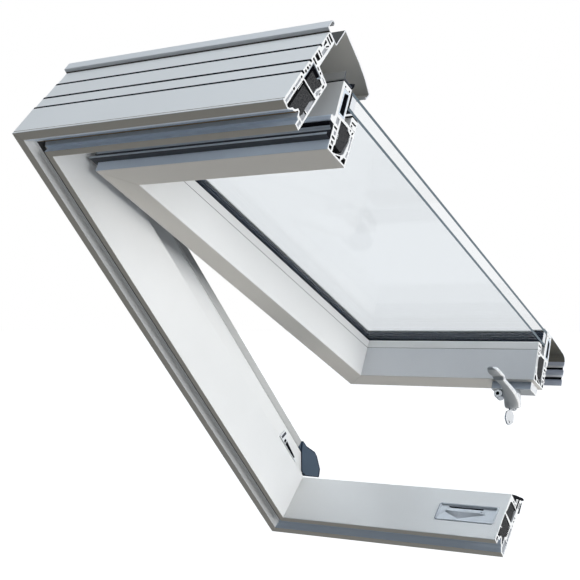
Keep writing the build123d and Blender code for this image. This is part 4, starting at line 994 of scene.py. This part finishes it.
# Share of the reach, height and radius of each corner.
weather_line = (
    (0.0, 12.2, 0.2), (0.75, 12.6, 0.8), (0.95, 13.8, 1.2), (0.92, 16.4, 1.2), (0.6, 17.4, 0.6),
    (0.38, 18.4, 0.4), (0.38, 20.0, 0.3), (0.50, 20.4, 0.3), (0.50, 21.6, 0.3), (0.38, 22.2, 0.3),
    (0.40, 24.0, 0.2), (0.62, 25.4, 0.4), (0.7, 26.4, 0.6), (0.98, 27.4, 1.2), (0.98, 30.4, 1.2),
    (0.7, 31.3, 0.6), (0.0, 31.5, 0.2),
)
for name, way, reach in (("top", rail_way, 9.0), ("side", jamb_way(sash_length + 2.0, 1), 9.0),
                         ("bottom", low_way, 2.0)):
    seal_loop = rounded([(-out * reach, height, radius) for out, height, radius in weather_line])
    seal_bar = shell([seal_loop], way, on_sash)
    # Bands on the outer side: painted sheen and painted highlight lines on the lips and the web.
    for number, low, high in ((3, 12.0, 13.6), (2, 13.6, 16.6), (3, 19.0, 23.0), (2, 23.0, 25.9)):
        painted(seal_bar, seal_loop, lambda u, d: (u < -0.1) & (d > low) & (d <= high), number)
    piece(name + "_seal", [seal_bar], [rubber, rubber, gasket_painted_highlight, gasket_painted_sheen], "sash", "black_rubber",
          name + "_weather_gasket")


# Covers of the sash: coated aluminium folded on a press. A strip stands on the top rail,
# the side cover runs over the jamb, and the stepped cover hangs over the sill.
# Finishes for the stepped cover's inner side: a painted reflection, painted warm shade and painted light for
# the ledges.
cover_painted_reflection = finish_of("aluminium_painted_reflection", (0.66, 0.7, 0.8), (0.54, 0.58, 0.68), (0.4, 0.5), fine=1400)
cover_painted_shade = finish_of("aluminium_painted_warm_shade", (0.2, 0.185, 0.15), (0.17, 0.16, 0.135), (0.4, 0.5),
                       fine=1400)
cover_painted_light = finish_of("aluminium_painted_light", (0.88, 0.89, 0.91), (0.82, 0.83, 0.85), (0.4, 0.5), fine=1400)
cover_left, cover_inside = -26.4, -23.9
strip_line = [(16.5, leg_top + 3.2), (-0.4, leg_top + 3.2, 1.2), (-1.4, leg_top + 12)]
strip_tape = rounded([(17, leg_top), (-1, leg_top), (-1, leg_top + 1.9), (17, leg_top + 1.9)], 0.3)
hood_fin = rounded([(9, leg_top + 3.2), (19.6, leg_top + 3.2), (20.6, leg_top + 6),
    (21.4, leg_top + 10.8)], 0.5)
side_line = [(28, leg_top + sheet), (-7.4, leg_top + sheet, 6), (-23.4, leg_top + 8, 3),
    (-29.4, leg_top + 4)]
edge = sash_length + 71
step_line = [(654, leg_top + sheet), (sash_length + 6, leg_top + sheet, 8), (edge - 13, leg_top - 2, 8),
    (edge - 5.5, leg_top - 5, 5), (edge - 1.5, leg_top - 11, 3), (edge - 1, leg_top - 18.6, 0.6),
    (edge - 4.5, leg_top - 22.8, 0.5), (edge - 4.5, leg_top - 24.6, 0.4), (edge, leg_top - 26.4, 0.6),
    (edge, leg_top - 34, 0.8), (edge - 4, leg_top - 38.6, 0.5), (edge - 4, leg_top - 41, 0.4),
    (edge - 0.5, leg_top - 42.8, 0.6), (edge - 0.5, leg_top - 51.3)]
step_outline = folded(step_line, sheet)
piece("top_strip", bars([folded(strip_line, -1.2)], straight_way(21.5, sash_width), on_sash),
      [aluminium, navy_coat], "sash", "coated_aluminium", "top_rail_strip")
piece("top_tape", bars([strip_tape, hood_fin], straight_way(22.5, sash_width - 0.3), on_sash), rubber, "sash",
      "black_rubber", weighted=False)
piece("side_sheet", bars([folded(side_line, -sheet)], down_way(69.5, 653.7), on_sash),
      [aluminium, sheared], "sash", "coated_aluminium", "side_cover")
step_bar = shell([step_outline], straight_way(cover_left, sash_width), on_sash)
inner_half = np.arange(len(step_outline)) >= len(step_outline) // 2
# Bands on the inner side: painted warm shade at the top, a painted reflection on the steep faces, black rubber
# as painted shadow under the ledges and painted light on their tops.
for number, low, high in ((2, 74.5, 90.0), (3, 68.6, 74.5), (5, 63.6, 68.6), (4, 60.4, 63.6), (3, 53.2, 60.4),
                          (5, 48.0, 53.2), (4, 44.0, 47.9), (3, 30.0, 44.0)):
    painted(step_bar, step_outline,
            lambda u, d: inner_half & (u > edge - 60.0) & (d > low) & (d <= high), number)
piece("step_sheet", [step_bar], [aluminium, sheared, cover_painted_shade, cover_painted_reflection, rubber, cover_painted_light], "sash",
      "coated_aluminium", "bottom_cover")
step_end = rounded([(687, 86.7), (edge - 14, 83.2), (edge - 7.5, 79.5), (edge - 6.5, 36.7),
    (edge - 11.5, 36.7), (edge - 11.5, 70), (687, 70)], 1.2)
piece("step_end", bars([step_end], straight_way(cover_left, cover_inside), on_sash), [aluminium, sheared],
      "sash", "coated_aluminium", "bottom_cover_end")


# Handle: die cast zinc with a satin finish. A bevelled base plate is screwed under the
# bottom rail, with a round release button on its left part and a collar for the lever.
# The side finish below is a painted cool reflection, and the bright finish a painted highlight on the faces
# and rims towards the side light.
satin = finish_of("satin_zinc", (0.32, 0.34, 0.355), (0.25, 0.27, 0.285), (0.32, 0.46), 0.25, 1300, 45, 0.14)
zinc_painted_reflection = finish_of("satin_zinc_painted_reflection", (0.32, 0.36, 0.42), (0.26, 0.3, 0.355), (0.26, 0.38), 0.25, 1200,
                       45, 0.12)
zinc_painted_highlight = finish_of("zinc_painted_highlight", (0.9, 0.91, 0.92), (0.84, 0.85, 0.87), (0.22, 0.34), 0.1, 1300,
                        60, 0.06)
nickel = finish_of("nickel", (0.93, 0.93, 0.94), (0.84, 0.85, 0.86), (0.15, 0.25), 0.2, 1500, 80, 0.05)
grip_x, grip_s = 296.8, 660.0
ring_angle = np.linspace(0, 2 * pi, 41)[:-1]


def below_rail(depth, x, s):
    """Places counted from the handle's axis, at a depth under the rail's room face."""
    return on_sash(grip_x + x, grip_s + s, -np.asarray(depth))


def disc(radius, x=0.0, s=0.0):
    """Circle in the handle's own plane: centre plus radius times (cos, sin)."""
    return np.stack([x + radius * np.cos(ring_angle), s + radius * np.sin(ring_angle)], 1)


def beside_button(run, across, depth):
    """Places on the button, whose axis runs down the sash: across it, depth and run."""
    return below_rail(depth, across, run)


bevelled = ((0, 0, 0), (1, -0.9, 0), (1, 0, 0.9))
plate_loop = rounded([(-34.0, -8.5, 3.0), (30.0, -8.5, 1.0), (30.0, 16.5, 2.0), (-34.0, 16.5, 5.0)])
plate_bar = shell([plate_loop], straight_way(0, 12.0), below_rail, bevelled)
# The end towards the section and the bevel on the up-slope edge take the bright finish, a painted highlight;
# the up-slope side takes the side finish, a painted cool reflection.
painted(plate_bar, plate_loop, lambda x, s: (x > 29.0) | (s < -7.0), 3, 2)
painted(plate_bar, plate_loop, lambda x, s: (x <= 29.0) & (s < -7.0), 2)
collar_bar = shell([disc(10.6)], straight_way(12.0, 16.0), below_rail, bevelled)
piece("grip_plate", [plate_bar, collar_bar], [satin, satin, zinc_painted_reflection, zinc_painted_highlight], "sash", "satin_zinc",
      "handle_plate")
button_disc, button_mouth = disc(6.3, -22.0, 18.6), disc(3.0, -22.0, 18.6)
button_rim = shell([button_disc, button_mouth], straight_way(-7.0, 8.0), beside_button,
                   ((0, 0, 0.9), (0, 0.9, 0), (1, -0.9, 0), (1, 0, 0.9)), False)
around = len(button_disc)
side_faces = 3 * 2 * around
# The rim's first bevel and face take the bright finish, a painted highlight, and its sides the side finish, a
# painted cool reflection.
button_rim[3][:around] = 3
button_rim[3][side_faces : (side_faces + len(button_rim[1])) // 2] = 3
button_heart = shell([button_mouth], straight_way(-5.8, 7.0), beside_button)
button_heart[3][:] = 4
piece("push_button", [button_rim, button_heart], [zinc_painted_reflection, satin, satin, zinc_painted_highlight, rubber], "sash",
      "satin_zinc", "release_button")


# Lever: one cast body on the collar. It leaves the plate as a round hub, bends over and
# runs up the sash as a slim blade with a neck and a rounded pad at its tip. The columns
# are share, x, s, depth, half width and half thickness.
lever_stations = np.array([(0, -1, 2, 16.4, 11, 9), (0.08, -0.5, 1.5, 24, 11.8, 9.2),
    (0.16, 1.5, -1, 31, 12, 8.6), (0.24, 5.5, -8, 34.6, 12.2, 6.2), (0.34, 11, -24, 34.8, 11.8, 4.2),
    (0.46, 15.2, -44, 33.6, 10.4, 3.6), (0.58, 17.2, -62, 31.8, 8.2, 3.3), (0.68, 17, -77, 30, 6.6, 3),
    (0.75, 15.8, -87, 28.8, 7.6, 3), (0.78, 15.4, -91, 28.4, 8.8, 3), (0.79, 15.4, -92.5, 27.6, 9.1, 2.3),
    (0.87, 15.4, -105, 26.8, 10, 2.5), (0.94, 15.9, -116, 26.2, 8.8, 2.5),
    (0.985, 16.8, -122.8, 25.9, 5.2, 1.9), (1, 17.2, -124.6, 25.8, 0.8, 0.6)])


def lever_body(stations, rings=92, power=3.4):
    """Closed body along a curve. Centre, half width a and half thickness b are cubic
    (Hermite) curves through the stations. A ring's point at an angle is centre +
    a sgn(cos)|cos|^(2/power) across + b sgn(sin)|sin|^(2/power) up, where across is the
    x direction squared to the curve and up is square to both."""
    knots, values = stations[:, 0], stations[:, 1:]
    share = np.unique(np.concatenate([np.linspace(0, 1, rings), knots]))
    slope = np.gradient(values, knots, axis=0)
    k = np.clip(np.searchsorted(knots, share, side="right") - 1, 0, len(knots) - 2)
    long = (knots[k + 1] - knots[k])[:, None]
    t = ((share - knots[k]) / (knots[k + 1] - knots[k]))[:, None]
    curve = ((2 * t**3 - 3 * t**2 + 1) * values[k] + (t**3 - 2 * t**2 + t) * long * slope[k]
             + (3 * t**2 - 2 * t**3) * values[k + 1] + (t**3 - t**2) * long * slope[k + 1])
    curve[:, 3:] = np.maximum(curve[:, 3:], 0.3)
    along = np.gradient(curve[:, :3], share, axis=0)
    along /= np.linalg.norm(along, axis=1)[:, None]
    across = np.array([1.0, 0, 0]) - along * along[:, :1]
    across /= np.linalg.norm(across, axis=1)[:, None]
    up = np.cross(along, across)
    angle = ring_angle[None, :, None]
    wide = np.sign(np.cos(angle)) * np.abs(np.cos(angle)) ** (2 / power)
    thick = np.sign(np.sin(angle)) * np.abs(np.sin(angle)) ** (2 / power)
    spot = (curve[:, None, :3] + curve[:, None, 3:4] * wide * across[:, None]
            + curve[:, None, 4:5] * thick * up[:, None])
    places = below_rail(spot[..., 2], spot[..., 0], spot[..., 1])
    corners, faces, coordinates, _ = grid_shell(places, closed_v=True)
    columns = len(ring_angle)
    # The faces of the blade towards the section take the bright finish, a painted highlight.
    side = np.cos(ring_angle + pi / columns) > 0.62
    numbers = np.concatenate([np.tile(side, len(share) - 1), [0, 0]]).astype(int)
    last = (len(share) - 1) * columns
    faces += [list(range(columns)), list(range(last, last + columns))]
    return corners, faces, np.concatenate([coordinates, np.zeros((2 * columns, 2))]), numbers


# The lever's side towards the section and the lock ring's face take the bright finish, a painted highlight.
lock_ring = shell([disc(6.4, 2.0, 1.0), disc(5.3, 2.0, 1.0)], straight_way(38.6, 40.6), below_rail, bevelled)
piece("grip_lever", [lever_body(lever_stations), lock_ring], [satin, zinc_painted_highlight], "handle", "satin_zinc",
      "handle_lever", smooth=38)


# Key: a flat nickel plated key left in the lever's lock, seen nearly edge on. Its barrel
# is round, and its bow is an oval with a hole for a ring.
bow_turn = radians(72.0)
barrel = shell([disc(5.0)], straight_way(36.0, 40.0), below_rail, bevelled)
bow = rounded([(-2.6, 38.5), (-2.6, 43, 2), (-8.8, 47.5, 5), (-9.2, 58, 6), (-3, 65.2, 5), (3, 65.2, 5),
    (9.2, 58, 6), (8.8, 47.5, 5), (2.6, 43, 2), (2.6, 38.5)], 0.5, 6)


def beside_key(thick, across, depth):
    """Places on the key's flat body: across it, its thickness and the depth."""
    return below_rail(depth, across * cos(bow_turn) + thick * sin(bow_turn),
                      across * sin(bow_turn) - thick * cos(bow_turn))


bow_bar = shell([bow, disc(1.9, 0.0, 61.0)], straight_way(-1.1, 1.1), beside_key,
                ((0, 0, 0.25), (0, 0.25, 0), (1, -0.25, 0), (1, 0, 0.25)))
# The key's sides take the side finish, a painted cool reflection.
piece("lock_bow", [barrel, bow_bar], [zinc_painted_reflection, nickel, zinc_painted_reflection, nickel], "key", "nickel", "lock_key")

bpy.context.view_layer.update()
